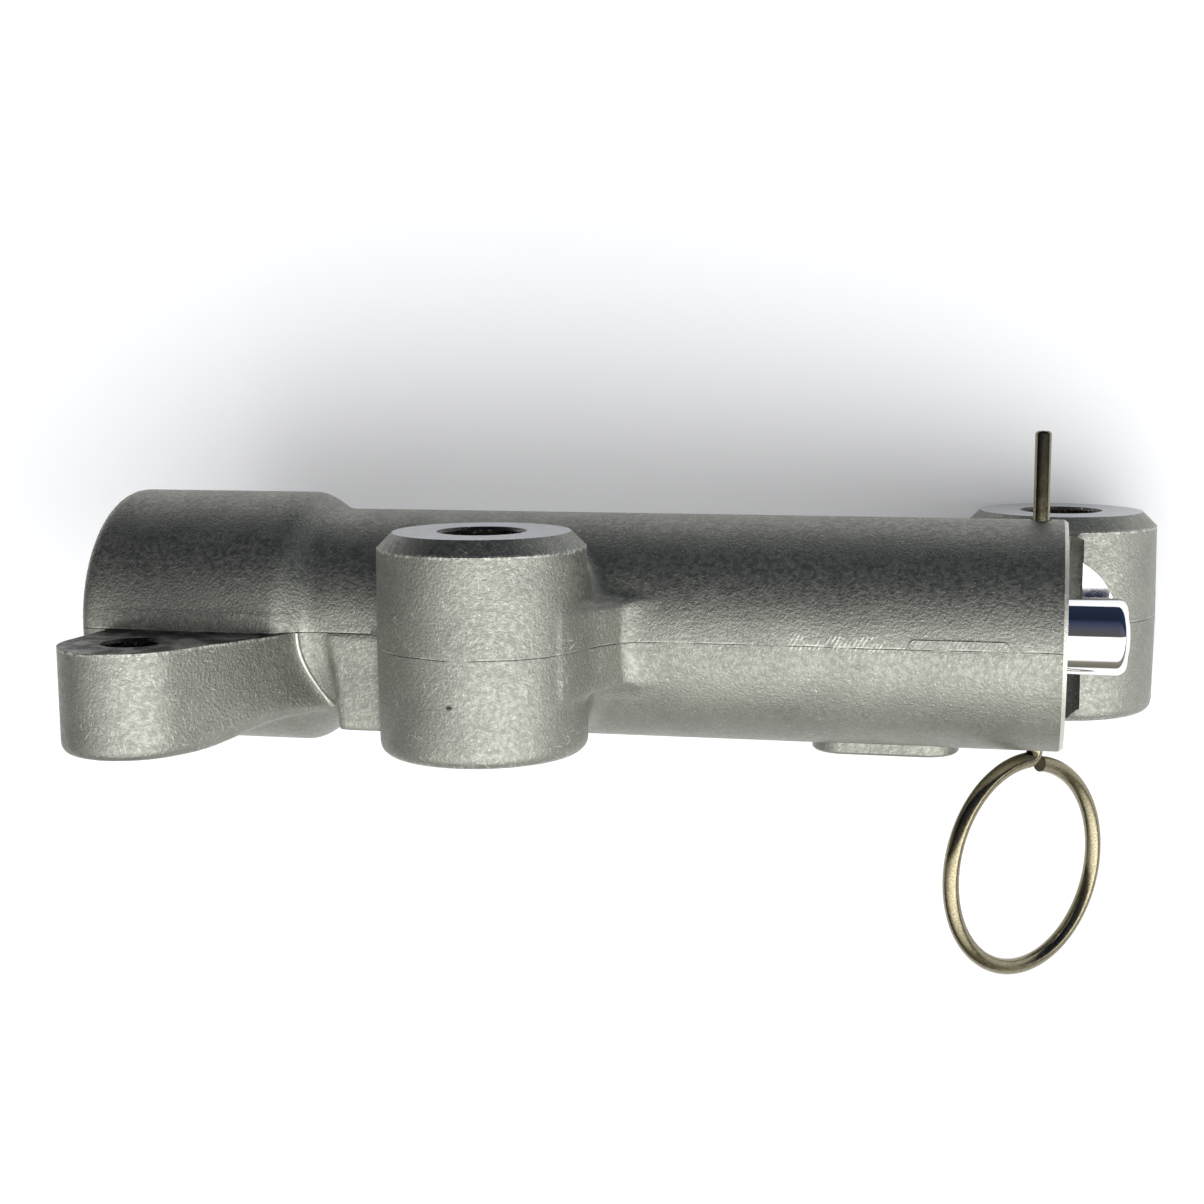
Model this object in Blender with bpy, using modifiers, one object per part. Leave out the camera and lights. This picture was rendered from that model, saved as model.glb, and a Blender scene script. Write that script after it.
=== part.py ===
"""Timing belt hydraulic tensioner, modelled lying on its back, in metres.

+X is the way the rod comes out, +Y runs along the bolt holes and +Z points up.
The origin is the middle of the underside of the whole part's box.
Stations along the tube are measured back from its mouth, towards -X.
Depths are measured from the tube's axis towards +Z, and heights from it towards +Y.
"""
import math

import bmesh
import bpy
from mathutils import Vector

# Clearance kept between two pieces that touch, and between a hole and its pin.
FIT = 0.0003

# The casting's tube and barrel head.
TUBE_OD = 0.0299
BODY_LENGTH = 0.1290
BARREL_OD = 0.0344
BARREL_LENGTH = 0.0269
SHOULDER_LENGTH = 0.0053
BARREL_EDGE_ROUND = 0.0020
MOUTH_EDGE_ROUND = 0.0017
CAST_STOCK = 0.0002

# The two bolt bosses.
BOSS_OD = 0.0265
BOSS_TOP = 0.0143
BOSS_BOTTOM = 0.0134
BOSS_DRAFT = 0.0002
BOSS_CHAMFER_WIDTH = 0.0019
BOSS_CHAMFER_DEPTH = 0.0019
BOSS_EDGE_ROUND = 0.0015
CENTRE_BOSS_STATION = 0.0719
CENTRE_BOSS_OFFSET = 0.0200
REAR_BOSS_STATION = 0.0005
REAR_BOSS_OFFSET = 0.0225
BOLT_HOLE_D = 0.0105
HOLE_CHAMFER = 0.0004

# Webs between the centre boss and the tube.
WEB_TOP = 0.0044
WEB_BOTTOM = 0.0062
WEB_BLEND = 0.0060
WEB_SINK = 0.0011
BLOCK_LENGTH = 0.0073
BLOCK_DEPTH = 0.0158
BLOCK_HEIGHT = 0.0130
BLOCK_EDGE = 0.0008
REAR_WEB_HEIGHT = 0.0105
REAR_WEB_BLEND = 0.0080
REAR_WEB_SINK = 0.0042

# The small lug and the web that carries it.
LUG_OD = 0.0183
LUG_SETBACK = 0.0129
LUG_DEPTH = 0.0270
LUG_HEIGHT = 0.0136
LUG_HOLE_D = 0.0070
LUG_EDGE_ROUND = 0.0014
LUG_WEB_HEIGHT = 0.0113
LUG_WEB_INSET = 0.0001
LUG_WEB_SHIFT = 0.0088
LUG_WEB_CORNER_R = 0.0053
LUG_WEB_LEAN = math.radians(14)

# Cast pads on the tube.
RIB_START = 0.0132
RIB_LENGTH = 0.0193
RIB_WIDTH = 0.0082
RIB_PROUD = 0.0005
PAD_START = 0.0069
PAD_LENGTH = 0.0122
PAD_WIDTH = 0.0015
PAD_PROUD = 0.0003

# Machining round the mouth.
FACING_D = 0.0299
FACING_SLOT = 0.0024
RELIEF_R = 0.0158
RELIEF_DEPTH = 0.0022
RELIEF_LIFT = 0.0010
MOUTH_CHAMFER = 0.0005

# The pull pin, one bent wire.
PIN_WIRE_D = 0.0021
PIN_STATION = 0.0034
PIN_TIP = 0.0263
PIN_TIP_CHAMFER = 0.0006
PIN_BEND_R = 0.0013
PIN_BEND_DROP = 0.0001
RING_R = 0.0137
RING_SPIRAL = 0.0006
RING_TURN = math.radians(48)
RING_END_ANGLE = math.radians(440)

# The push rod.
ROD_D = 0.0100
ROD_REACH = 0.0082
ROD_DOME = 0.0007
ROD_TIP_CHAMFER = 0.0008
ROD_HOLE_PLAY = 0.0004
ROD_STROKE = 0.0120
COLLAR_HEIGHT = 0.0015
COLLAR_WIDTH = 0.0015
RING_SEAT_WIDTH = 0.0040
SPIGOT_LENGTH = 0.0067

# Seal, snap ring and bush between the mouth and the main bore.
SEAL_SECTION = 0.0035
SNAP_GAP = 0.0017
SNAP_THICKNESS = 0.0010
SNAP_GROOVE_DEPTH = 0.0008
SNAP_RADIAL_WIDTH = 0.0016
SEAL_WIDTH = 0.0052
SEAL_CASE_WALL = 0.0006
SEAL_CASE_LIP = 0.0010
SEAL_BODY_WIDTH = 0.0015
SEAL_BODY_WALL = 0.0014
LIP_LENGTH = 0.0024
LIP_WALL = 0.0008
GARTER_WIRE_D = 0.0007
BRIDGE = 0.0015
BUSH_LENGTH = 0.0127
BUSH_WALL = 0.0024

# Guide ring and springs.
WEAR_RING_THICKNESS = 0.0027
WEAR_RING_GAP = 0.0012
SPRING_SEAT_THICKNESS = 0.0015
SPRING_SEAT_HUB = 0.0030
SPRING_SEAT_HUB_WALL = 0.0013
RETURN_WIRE_D = 0.0018
RETURN_TURNS = 9
RETURN_SPRING_GAP = 0.0010
PLUNGER_WIRE_D = 0.0011
PLUNGER_SPRING_TURNS = 7
PLUNGER_SPRING_LENGTH = 0.0187
PLUNGER_SPRING_GAP = 0.00055

# Pressure chamber.
SLEEVE_WALL = 0.0017
SLEEVE_SETBACK = 0.0062
PLUNGER_BORE_D = 0.0044
PLUNGER_SLOT_WIDTH = 0.0020
PLUNGER_SLOT_DEPTH = 0.0015
VALVE_POCKET_LEDGE = 0.0006
VALVE_POCKET_DEPTH = 0.0060
VALVE_SEAT_THICKNESS = 0.0030
VALVE_HOLE_D = 0.0030
BALL_D = 0.0040
BALL_CLEARANCE = 0.0010
RETAINER_WALL = 0.0006
RETAINER_CROWN_LENGTH = 0.0052
RETAINER_VENT_D = 0.0020
BALL_WIRE_D = 0.0005
BALL_SPRING_TURNS = 4

# Plug in the barrel's far end.
PLUG_STEP = 0.0017
PLUG_LENGTH = 0.0098
PLUG_POCKET_DEPTH = 0.0040
PLUG_GROOVE_WIDTH = 0.0026
PLUG_GROOVE_DEPTH = 0.0020
PLUG_GROOVE_SETBACK = 0.0034
PLUG_DISH_D = 0.0150
PLUG_DISH_DEPTH = 0.0020
PLUG_CHAMFER = 0.0004
CIRCLIP_SETBACK = 0.0050
CIRCLIP_THICKNESS = 0.0014
CIRCLIP_GROOVE_DEPTH = 0.0009
CIRCLIP_RADIAL_WIDTH = 0.0024

# Facets round a turned piece.
BODY_SEGMENTS = 46
BOSS_SEGMENTS = 36
HOLE_SEGMENTS = 24
INNER_SEGMENTS = 24
RING_POINTS = 38

# How far a cutter runs past the face that it cuts.
OVERSHOOT = 0.0010

# Where the tube's mouth and axis lie in the part's frame.
LUG_STATION = BODY_LENGTH - LUG_SETBACK
LEFT_END = max(BODY_LENGTH, LUG_STATION + LUG_OD / 2)
RIGHT_END = BOSS_OD / 2 - REAR_BOSS_STATION
MOUTH_X = (LEFT_END - RIGHT_END) / 2
AXIS_Z = REAR_BOSS_OFFSET + BOSS_OD / 2
RING_TOP = TUBE_OD / 2 + PIN_BEND_DROP + PIN_BEND_R
RING_DROP = RING_TOP + RING_R + RING_SPIRAL / 2
RING_BOTTOM = RING_DROP + RING_R + PIN_WIRE_D / 2
AXIS_Y = (RING_BOTTOM - PIN_TIP) / 2

# Diameters inside, each worked out from the piece inside it.
RETAINER_CROWN_D = BALL_D + 2 * (BALL_CLEARANCE + RETAINER_WALL)
VALVE_POCKET_D = RETAINER_CROWN_D + 2 * VALVE_POCKET_LEDGE
SLEEVE_ID = RETAINER_CROWN_D + 2 * PLUNGER_WIRE_D + 4 * PLUNGER_SPRING_GAP
SLEEVE_OD = SLEEVE_ID + 2 * SLEEVE_WALL
MAIN_BORE_D = SLEEVE_OD + 2 * RETURN_WIRE_D + 4 * RETURN_SPRING_GAP
RING_SEAT_D = MAIN_BORE_D - 2 * WEAR_RING_THICKNESS - 4 * FIT
COLLAR_D = RING_SEAT_D + 2 * COLLAR_HEIGHT
PLUG_BORE_D = MAIN_BORE_D + 2 * PLUG_STEP
SEAL_BORE_D = ROD_D + 2 * SEAL_SECTION

# Stations along the tube, each worked out from the piece before it.
SNAP_START = PIN_STATION + PIN_WIRE_D / 2 + SNAP_GAP
SEAL_START = SNAP_START + SNAP_THICKNESS + FIT
SEAL_FLOOR = SEAL_START + SEAL_WIDTH + FIT
BUSH_START = SEAL_FLOOR + BRIDGE
BORE_START = BUSH_START + BUSH_LENGTH + 2 * FIT
COLLAR_START = BORE_START + ROD_STROKE
RING_SEAT_START = COLLAR_START + COLLAR_WIDTH
SPIGOT_START = RING_SEAT_START + RING_SEAT_WIDTH
SPRING_SEAT_START = SPIGOT_START + FIT
ROD_END = SPIGOT_START + SPIGOT_LENGTH
PLUNGER_START = ROD_END + FIT
SLEEVE_START = ROD_END + SLEEVE_SETBACK
CIRCLIP_END = BODY_LENGTH - CIRCLIP_SETBACK
CIRCLIP_START = CIRCLIP_END - CIRCLIP_THICKNESS
PLUG_END = CIRCLIP_START - FIT
PLUG_START = PLUG_END - PLUG_LENGTH
POCKET_FLOOR = PLUG_START + PLUG_POCKET_DEPTH
SLEEVE_END = POCKET_FLOOR - FIT
PLUNGER_SPRING_END = POCKET_FLOOR - FIT
PLUNGER_SPRING_START = PLUNGER_SPRING_END - PLUNGER_SPRING_LENGTH
RETAINER_START = PLUNGER_SPRING_START - FIT - RETAINER_WALL
PLUNGER_END = RETAINER_START - FIT
RETAINER_END = RETAINER_START + RETAINER_CROWN_LENGTH
VALVE_SEAT_END = PLUNGER_END - VALVE_POCKET_DEPTH + FIT + VALVE_SEAT_THICKNESS
BALL_RISE = math.sqrt(BALL_D ** 2 - VALVE_HOLE_D ** 2) / 2
BALL_STATION = VALVE_SEAT_END + BALL_RISE + FIT


def remove_everything():
    """Clear the scene that this script starts in."""
    for old in list(bpy.data.objects):
        bpy.data.objects.remove(old, do_unlink=True)


def new_collection(name):
    collection = bpy.data.collections.new(name)
    bpy.context.scene.collection.children.link(collection)
    return collection


remove_everything()
PARTS = new_collection("belt_tensioner")
CUTTERS = new_collection("cutters")


def material(name, colour, roughness, metallic):
    """A plain surface with the piece's colour, roughness and metallic value."""
    surface = bpy.data.materials.new(name)
    surface.use_nodes = True
    shader = surface.node_tree.nodes["Principled BSDF"]
    shader.inputs["Base Color"].default_value = (*colour, 1.0)
    shader.inputs["Roughness"].default_value = roughness
    shader.inputs["Metallic"].default_value = metallic
    return surface


CAST_ALUMINIUM = material("cast_aluminium", (0.46, 0.47, 0.43), 0.55, 0.85)
POLISHED_STEEL = material("polished_steel", (0.80, 0.80, 0.82), 0.08, 1.0)
PLATED_WIRE = material("plated_wire", (0.33, 0.30, 0.22), 0.32, 1.0)
GROUND_STEEL = material("ground_steel", (0.56, 0.57, 0.58), 0.30, 1.0)
SPRING_STEEL = material("spring_steel", (0.30, 0.30, 0.31), 0.38, 1.0)
BEARING_BRONZE = material("bearing_bronze", (0.55, 0.38, 0.20), 0.35, 1.0)
SEAL_RUBBER = material("seal_rubber", (0.03, 0.03, 0.03), 0.65, 0.0)
GUIDE_PLASTIC = material("guide_plastic", (0.12, 0.10, 0.08), 0.50, 0.0)


def point(station, depth=0.0, height=0.0):
    """The place in the part's frame of a station, a depth and a height."""
    return Vector((MOUTH_X - station, AXIS_Y + height, AXIS_Z + depth))


def add_object(name, data, location=(0.0, 0.0, 0.0), rotation=(0.0, 0.0, 0.0)):
    piece = bpy.data.objects.new(name, data)
    piece.location = location
    piece.rotation_euler = rotation
    PARTS.objects.link(piece)
    return piece


def settle(piece):
    """Turn a piece and its modifiers into one welded mesh."""
    bpy.context.view_layer.update()
    graph = bpy.context.evaluated_depsgraph_get()
    mesh = bpy.data.meshes.new_from_object(piece.evaluated_get(graph))
    weld(mesh)
    piece.modifiers.clear()
    piece.data = mesh
    return piece


def weld(mesh):
    shape = bmesh.new()
    shape.from_mesh(mesh)
    bmesh.ops.remove_doubles(shape, verts=shape.verts, dist=1e-6)
    shape.to_mesh(mesh)
    shape.free()


def combine(target, tool, operation, solver="EXACT"):
    """Join a tool to the target or cut it away, and put the tool with the cutters."""
    step = target.modifiers.new(tool.name, "BOOLEAN")
    step.object = tool
    step.operation = operation
    step.solver = solver
    settle(target)
    tool.hide_render = True
    tool.display_type = "WIRE"
    PARTS.objects.unlink(tool)
    CUTTERS.objects.link(tool)


def shade_round(piece, limit=35):
    piece.data.shade_smooth()
    piece.data.set_sharp_from_angle(angle=math.radians(limit))


def dress(piece, surface):
    """Give a finished piece its material and smooth shading."""
    piece.data.materials.clear()
    piece.data.materials.append(surface)
    shade_round(piece)
    return piece


ALONG_TUBE = (0.0, math.pi / 2, 0.0)
ALONG_HOLES = (-math.pi / 2, 0.0, 0.0)


def turned(name, profile, location, rotation, segments, closed=False):
    """Turn a profile of (radius, height) points about its own Z axis."""
    points = [(radius, 0.0, height) for radius, height in profile]
    edges = [(i, i + 1) for i in range(len(points) - 1)]
    if closed:
        edges.append((len(points) - 1, 0))
    mesh = bpy.data.meshes.new(name)
    mesh.from_pydata(points, edges, [])
    piece = add_object(name, mesh, location, rotation)
    screw = piece.modifiers.new("turn", "SCREW")
    screw.axis = "Z"
    screw.steps = segments
    screw.render_steps = segments
    screw.use_merge_vertices = True
    screw.merge_threshold = 0.000005
    return settle(piece)


def on_axis(name, profile, segments=INNER_SEGMENTS, closed=False):
    """A piece turned about the tube's axis from (radius, station) points."""
    down = [(radius, -station) for radius, station in profile]
    return turned(name, down, point(0.0), ALONG_TUBE, segments, closed)


def ring_profile(outer, inner, start, end, chamfer=0.0):
    """The section of a plain ring, with its two outer edges chamfered."""
    if chamfer == 0.0:
        return [(outer, start), (outer, end), (inner, end), (inner, start)]
    return [
        (outer - chamfer, start),
        (outer, start + chamfer),
        (outer, end - chamfer),
        (outer - chamfer, end),
        (inner, end),
        (inner, start),
    ]


def arc(centre, radius, first, last, steps):
    """Points on an arc, from one angle to another, both in radians."""
    angles = [first + (last - first) * i / steps for i in range(steps + 1)]
    return [(centre[0] + radius * math.cos(a), centre[1] + radius * math.sin(a)) for a in angles]


def slab(name, outlines, thickness, location, rotation):
    """A flat outline, with holes where more than one is given, extruded both ways."""
    curve = bpy.data.curves.new(name, "CURVE")
    curve.dimensions = "2D"
    curve.fill_mode = "BOTH"
    curve.extrude = thickness / 2
    for outline in outlines:
        spline = curve.splines.new("POLY")
        spline.points.add(len(outline) - 1)
        spline.use_cyclic_u = True
        for corner, (x, y) in zip(spline.points, outline):
            corner.co = (x, y, 0.0, 1.0)
    guide = add_object(name, curve, location, rotation)
    return curve_to_mesh(guide)


def curve_to_mesh(guide):
    """Replace a curve by a closed mesh in the same place."""
    bpy.context.view_layer.update()
    graph = bpy.context.evaluated_depsgraph_get()
    mesh = bpy.data.meshes.new_from_object(guide.evaluated_get(graph))
    weld(mesh)
    name = guide.name
    place = guide.matrix_world.copy()
    bpy.data.objects.remove(guide, do_unlink=True)
    piece = add_object(name, mesh)
    piece.matrix_world = place
    return piece


def upright_slab(name, outline, low, high):
    """A web drawn in (station, depth) and extruded between two heights."""
    flat = [(-station, depth) for station, depth in outline]
    middle = point(0.0, 0.0, (low + high) / 2)
    return slab(name, [flat], high - low, middle, (math.pi / 2, 0.0, 0.0))


def soften(piece, width, segments=2):
    """Round the sharp edges of a piece."""
    bevel = piece.modifiers.new("edge_round", "BEVEL")
    bevel.width = width
    bevel.segments = segments
    bevel.limit_method = "ANGLE"
    bevel.angle_limit = math.radians(40)
    return settle(piece)


def wire(name, path, diameter, location, rotation, resolution=2, tapers=None):
    """A round wire along a path of points."""
    curve = bpy.data.curves.new(name, "CURVE")
    curve.dimensions = "3D"
    curve.bevel_depth = diameter / 2
    curve.bevel_resolution = resolution
    curve.use_fill_caps = True
    spline = curve.splines.new("POLY")
    spline.points.add(len(path) - 1)
    for knot, place in zip(spline.points, path):
        knot.co = (*place, 1.0)
    for index, share in (tapers or {}).items():
        spline.points[index].radius = share
    return curve_to_mesh(add_object(name, curve, location, rotation))


def coil(name, mean_d, wire_d, start, end, turns, points_per_turn, resolution):
    """A compression spring with a closed turn at each end."""
    first = start + wire_d / 2
    last = end - wire_d / 2
    closed_pitch = wire_d + 2 * FIT
    open_pitch = (last - first - 2 * closed_pitch) / (turns - 2)
    path = []
    for step in range(turns * points_per_turn + 1):
        turn = step / points_per_turn
        station = first + closed_pitch * min(turn, 1.0)
        station += open_pitch * min(max(turn - 1.0, 0.0), turns - 2)
        station += closed_pitch * max(turn - turns + 1.0, 0.0)
        angle = 2 * math.pi * turn
        path.append((mean_d / 2 * math.cos(angle), mean_d / 2 * math.sin(angle), -station))
    return wire(name, path, wire_d, point(0.0), ALONG_TUBE, resolution)


def split_ring_outline(outer, inner, gap, ear=0.0):
    """The outline of an open ring whose gap faces local +X, with ears that reach inwards."""
    half = gap / (outer + inner)
    outer_arc = arc((0.0, 0.0), outer, half, 2 * math.pi - half, INNER_SEGMENTS + 8)
    if ear == 0.0:
        return outer_arc + arc((0.0, 0.0), inner, 2 * math.pi - half, half, INNER_SEGMENTS + 8)
    neck = half + 2.4 * ear / inner
    tip = inner - ear
    upper_ear = arc((0.0, 0.0), tip, 2 * math.pi - half, 2 * math.pi - neck, 2)
    lower_ear = arc((0.0, 0.0), tip, neck, half, 2)
    inner_arc = arc((0.0, 0.0), inner, 2 * math.pi - neck, neck, INNER_SEGMENTS + 4)
    return outer_arc + upper_ear + inner_arc + lower_ear


def retaining_ring(name, outer, radial_width, thickness, start, ear):
    """A stamped internal retaining ring with an ear each side of its gap."""
    outline = split_ring_outline(outer, outer - radial_width, 3 * radial_width, ear)
    middle = point(start + thickness / 2)
    piece = slab(name, [outline], thickness, middle, ALONG_TUBE)
    return dress(piece, SPRING_STEEL)


def boss_blank(name, station, depth):
    """A cast bolt boss: machined faces, chamfered rim and a little draft from the parting plane."""
    widest = BOSS_OD / 2
    drafted = widest - BOSS_DRAFT
    face = drafted - BOSS_CHAMFER_WIDTH
    floor_arc = arc((drafted - BOSS_EDGE_ROUND, BOSS_EDGE_ROUND - BOSS_BOTTOM), BOSS_EDGE_ROUND,
                    0.0, -math.pi / 2, 3)
    profile = [(0.0, BOSS_TOP), (face, BOSS_TOP), (drafted, BOSS_TOP - BOSS_CHAMFER_DEPTH),
               (widest, 0.0)]
    profile += floor_arc
    profile.append((0.0, -BOSS_BOTTOM))
    return turned(name, profile, point(station, depth), ALONG_HOLES, BOSS_SEGMENTS)


def lug_blank():
    """The small lug and its web, whose shared flat top lies on the parting plane."""
    radius = LUG_OD / 2
    profile = [(0.0, OVERSHOOT), (radius, OVERSHOOT)]
    profile += arc((radius - LUG_EDGE_ROUND, LUG_EDGE_ROUND - LUG_HEIGHT), LUG_EDGE_ROUND,
                   0.0, -math.pi / 2, 3)
    profile.append((0.0, -LUG_HEIGHT))
    lug = turned("lug", profile, point(LUG_STATION, LUG_DEPTH), ALONG_HOLES, BOSS_SEGMENTS)
    web = upright_slab("lug_web", lug_web_outline(), -LUG_WEB_HEIGHT, 2 * OVERSHOOT)
    combine(lug, web, "UNION")
    size = 2 * (LUG_DEPTH + LUG_OD)
    top = add_box("lug_top", point(LUG_STATION, LUG_DEPTH, size / 2), (size, size, size))
    combine(lug, top, "DIFFERENCE")
    return lug


def tube_blank():
    """The tube, its shoulder and the barrel head, solid."""
    radius = TUBE_OD / 2
    barrel = BARREL_OD / 2
    shoulder_end = BODY_LENGTH - BARREL_LENGTH
    shoulder_start = shoulder_end - SHOULDER_LENGTH
    mouth_arc = arc((radius - MOUTH_EDGE_ROUND, MOUTH_EDGE_ROUND - CAST_STOCK), MOUTH_EDGE_ROUND,
                    -math.pi / 2, 0.0, 3)
    end_arc = arc((barrel - BARREL_EDGE_ROUND, BODY_LENGTH - BARREL_EDGE_ROUND), BARREL_EDGE_ROUND,
                  0.0, math.pi / 2, 4)
    profile = [(0.0, -CAST_STOCK)] + mouth_arc
    rise = barrel - radius
    for share in (0.0, 0.25, 0.5, 0.75, 1.0):
        blend = (1 - math.cos(math.pi * share)) / 2
        profile.append((radius + rise * blend, shoulder_start + SHOULDER_LENGTH * share))
    profile += end_arc
    profile.append((0.0, BODY_LENGTH))
    return on_axis("housing", profile, BODY_SEGMENTS)


def blended_web(name, station, offset, crest, blend, side, outward, low, high):
    """A web whose edge runs in a hollow curve from a boss down to the tube's crest.

    side is 1 for the barrel's side of the boss and -1 for the mouth's side.
    outward is 1 for a boss in front of the tube and -1 for one behind it.
    """
    reach = BOSS_OD / 2 + blend
    run = math.sqrt(reach ** 2 - (crest + blend - offset) ** 2)
    centre = (run, crest + blend)
    to_boss = math.atan2(offset - centre[1], -run) % (2 * math.pi)
    hollow = arc(centre, blend, to_boss, 1.5 * math.pi, 6)
    outline = [(0.0, 0.0), (0.0, offset)] + hollow + [(run, 0.0)]
    placed = [(station + side * along, outward * out) for along, out in outline]
    return upright_slab(name, placed, low, high)


def lug_web_outline():
    """The web between the lug and the tube: a lobe beside the lug with a slanted side."""
    radius = LUG_OD / 2 - LUG_WEB_INSET
    crown = [(LUG_STATION + radius, LUG_DEPTH), (LUG_STATION, LUG_DEPTH),
             (LUG_STATION, LUG_DEPTH + radius)]
    corner = (LUG_STATION - LUG_WEB_SHIFT, LUG_DEPTH + radius - LUG_WEB_CORNER_R)
    lobe = arc(corner, LUG_WEB_CORNER_R, math.pi / 2, math.pi - LUG_WEB_LEAN, 5)
    start_station, start_depth = lobe[-1]
    web_end = start_station - math.tan(LUG_WEB_LEAN) * start_depth
    back = LUG_STATION + radius - BARREL_EDGE_ROUND
    return crown + lobe + [(web_end, 0.0), (back, 0.0)]


def webs():
    """The bosses' webs and the pads on the tube, as separate solids to be joined."""
    crest = TUBE_OD / 2 - WEB_SINK
    yield blended_web("front_web", CENTRE_BOSS_STATION, CENTRE_BOSS_OFFSET, crest, WEB_BLEND, -1, 1,
                      -WEB_BOTTOM, WEB_TOP)
    rear_crest = TUBE_OD / 2 - REAR_WEB_SINK
    yield blended_web("rear_web", REAR_BOSS_STATION, REAR_BOSS_OFFSET, rear_crest, REAR_WEB_BLEND,
                      1, -1, -REAR_WEB_HEIGHT, REAR_WEB_HEIGHT)

    block_end = CENTRE_BOSS_STATION + BOSS_OD / 2 + BLOCK_LENGTH
    block = [(CENTRE_BOSS_STATION, 0.0), (CENTRE_BOSS_STATION, BLOCK_DEPTH),
             (block_end, BLOCK_DEPTH), (block_end, 0.0)]
    yield soften(upright_slab("block", block, -BLOCK_HEIGHT, 0.0), BLOCK_EDGE)

    end_r = RIB_WIDTH / 2
    rib = arc((RIB_START + end_r, 0.0), end_r, 0.5 * math.pi, 1.5 * math.pi, 6)
    rib += arc((RIB_START + RIB_LENGTH - end_r, 0.0), end_r, -0.5 * math.pi, 0.5 * math.pi, 6)
    rib_low = -TUBE_OD / 2 - RIB_PROUD
    yield upright_slab("rib", rib, rib_low, rib_low + RIB_WIDTH / 2)

    end_r = PAD_WIDTH / 2
    pad = arc((PAD_START + end_r, 0.0), end_r, 0.5 * math.pi, 1.5 * math.pi, 4)
    pad += arc((PAD_START + PAD_LENGTH - end_r, 0.0), end_r, -0.5 * math.pi, 0.5 * math.pi, 4)
    flat = [(-station, height) for station, height in pad]
    pad_depth = TUBE_OD / 2 + PAD_PROUD
    middle = point(0.0, pad_depth - PAD_WIDTH / 2, PAD_WIDTH / 2)
    yield slab("pad", [flat], PAD_WIDTH, middle, (0.0, 0.0, 0.0))


def straight_hole(name, diameter, station, depth, top, bottom, chamfer, segments=HOLE_SEGMENTS):
    """A cutter for a round hole along +Y with a chamfer at both faces."""
    radius = diameter / 2
    flare = radius + chamfer + OVERSHOOT
    profile = [(0.0, top + OVERSHOOT), (flare, top + OVERSHOOT), (radius, top - chamfer),
               (radius, chamfer - bottom), (flare, -bottom - OVERSHOOT), (0.0, -bottom - OVERSHOOT)]
    return turned(name, profile, point(station, depth), ALONG_HOLES, segments)


def cross_hole(name, diameter, station, half_length):
    """A cutter for a plain hole across the tube's axis."""
    profile = [(0.0, half_length), (diameter / 2, half_length),
               (diameter / 2, -half_length), (0.0, -half_length)]
    return turned(name, profile, point(station), ALONG_HOLES, INNER_SEGMENTS)


def bore_cutter():
    """The whole stepped bore, from the mouth through to the barrel's end."""
    seal = SEAL_BORE_D / 2
    groove = seal + SNAP_GROOVE_DEPTH
    rod = ROD_D / 2 + 2 * FIT
    bush = rod_guide_radius() + FIT
    bore = MAIN_BORE_D / 2
    plug = PLUG_BORE_D / 2
    clip = plug + CIRCLIP_GROOVE_DEPTH
    out = BODY_LENGTH + OVERSHOOT
    profile = [
        (0.0, -FACING_SLOT / 2), (seal + MOUTH_CHAMFER, -FACING_SLOT / 2),
        (seal + MOUTH_CHAMFER, 0.0), (seal, MOUTH_CHAMFER),
        (seal, SNAP_START - FIT), (groove, SNAP_START - FIT),
        (groove, SEAL_START), (seal, SEAL_START),
        (seal, SEAL_FLOOR), (rod, SEAL_FLOOR), (rod, BUSH_START), (bush, BUSH_START),
        (bush, BORE_START), (bore, BORE_START),
        (bore, PLUG_START - FIT), (plug, PLUG_START - FIT),
        (plug, CIRCLIP_START - FIT), (clip, CIRCLIP_START - FIT),
        (clip, CIRCLIP_END + FIT), (plug, CIRCLIP_END + FIT),
        (plug, BODY_LENGTH - MOUTH_CHAMFER), (plug + MOUTH_CHAMFER, BODY_LENGTH),
        (plug + MOUTH_CHAMFER, out), (0.0, out),
    ]
    return on_axis("stepped_bore", profile, BOSS_SEGMENTS)


def facing_cutter():
    """The disc cut that faces the tube's end and runs into the rear boss as a slot."""
    radius = FACING_D / 2
    profile = [(0.0, -FACING_SLOT), (radius, -FACING_SLOT), (radius, 0.0), (0.0, 0.0)]
    return on_axis("facing_slot", profile, BODY_SEGMENTS)


def relief_cutter():
    """The shallow hollow milled into the rear boss behind the rod."""
    start = -FACING_SLOT / 2
    end = REAR_BOSS_STATION - BOSS_OD / 2 - OVERSHOOT
    profile = [(0.0, end), (RELIEF_R, end), (RELIEF_R, start), (0.0, start)]
    down = [(radius, -station) for radius, station in profile]
    floor = BOSS_OD / 2 - REAR_BOSS_OFFSET - RELIEF_DEPTH
    centre = point(0.0, floor + RELIEF_R, RELIEF_LIFT)
    return turned("rod_relief", down, centre, ALONG_TUBE, BODY_SEGMENTS)


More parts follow.
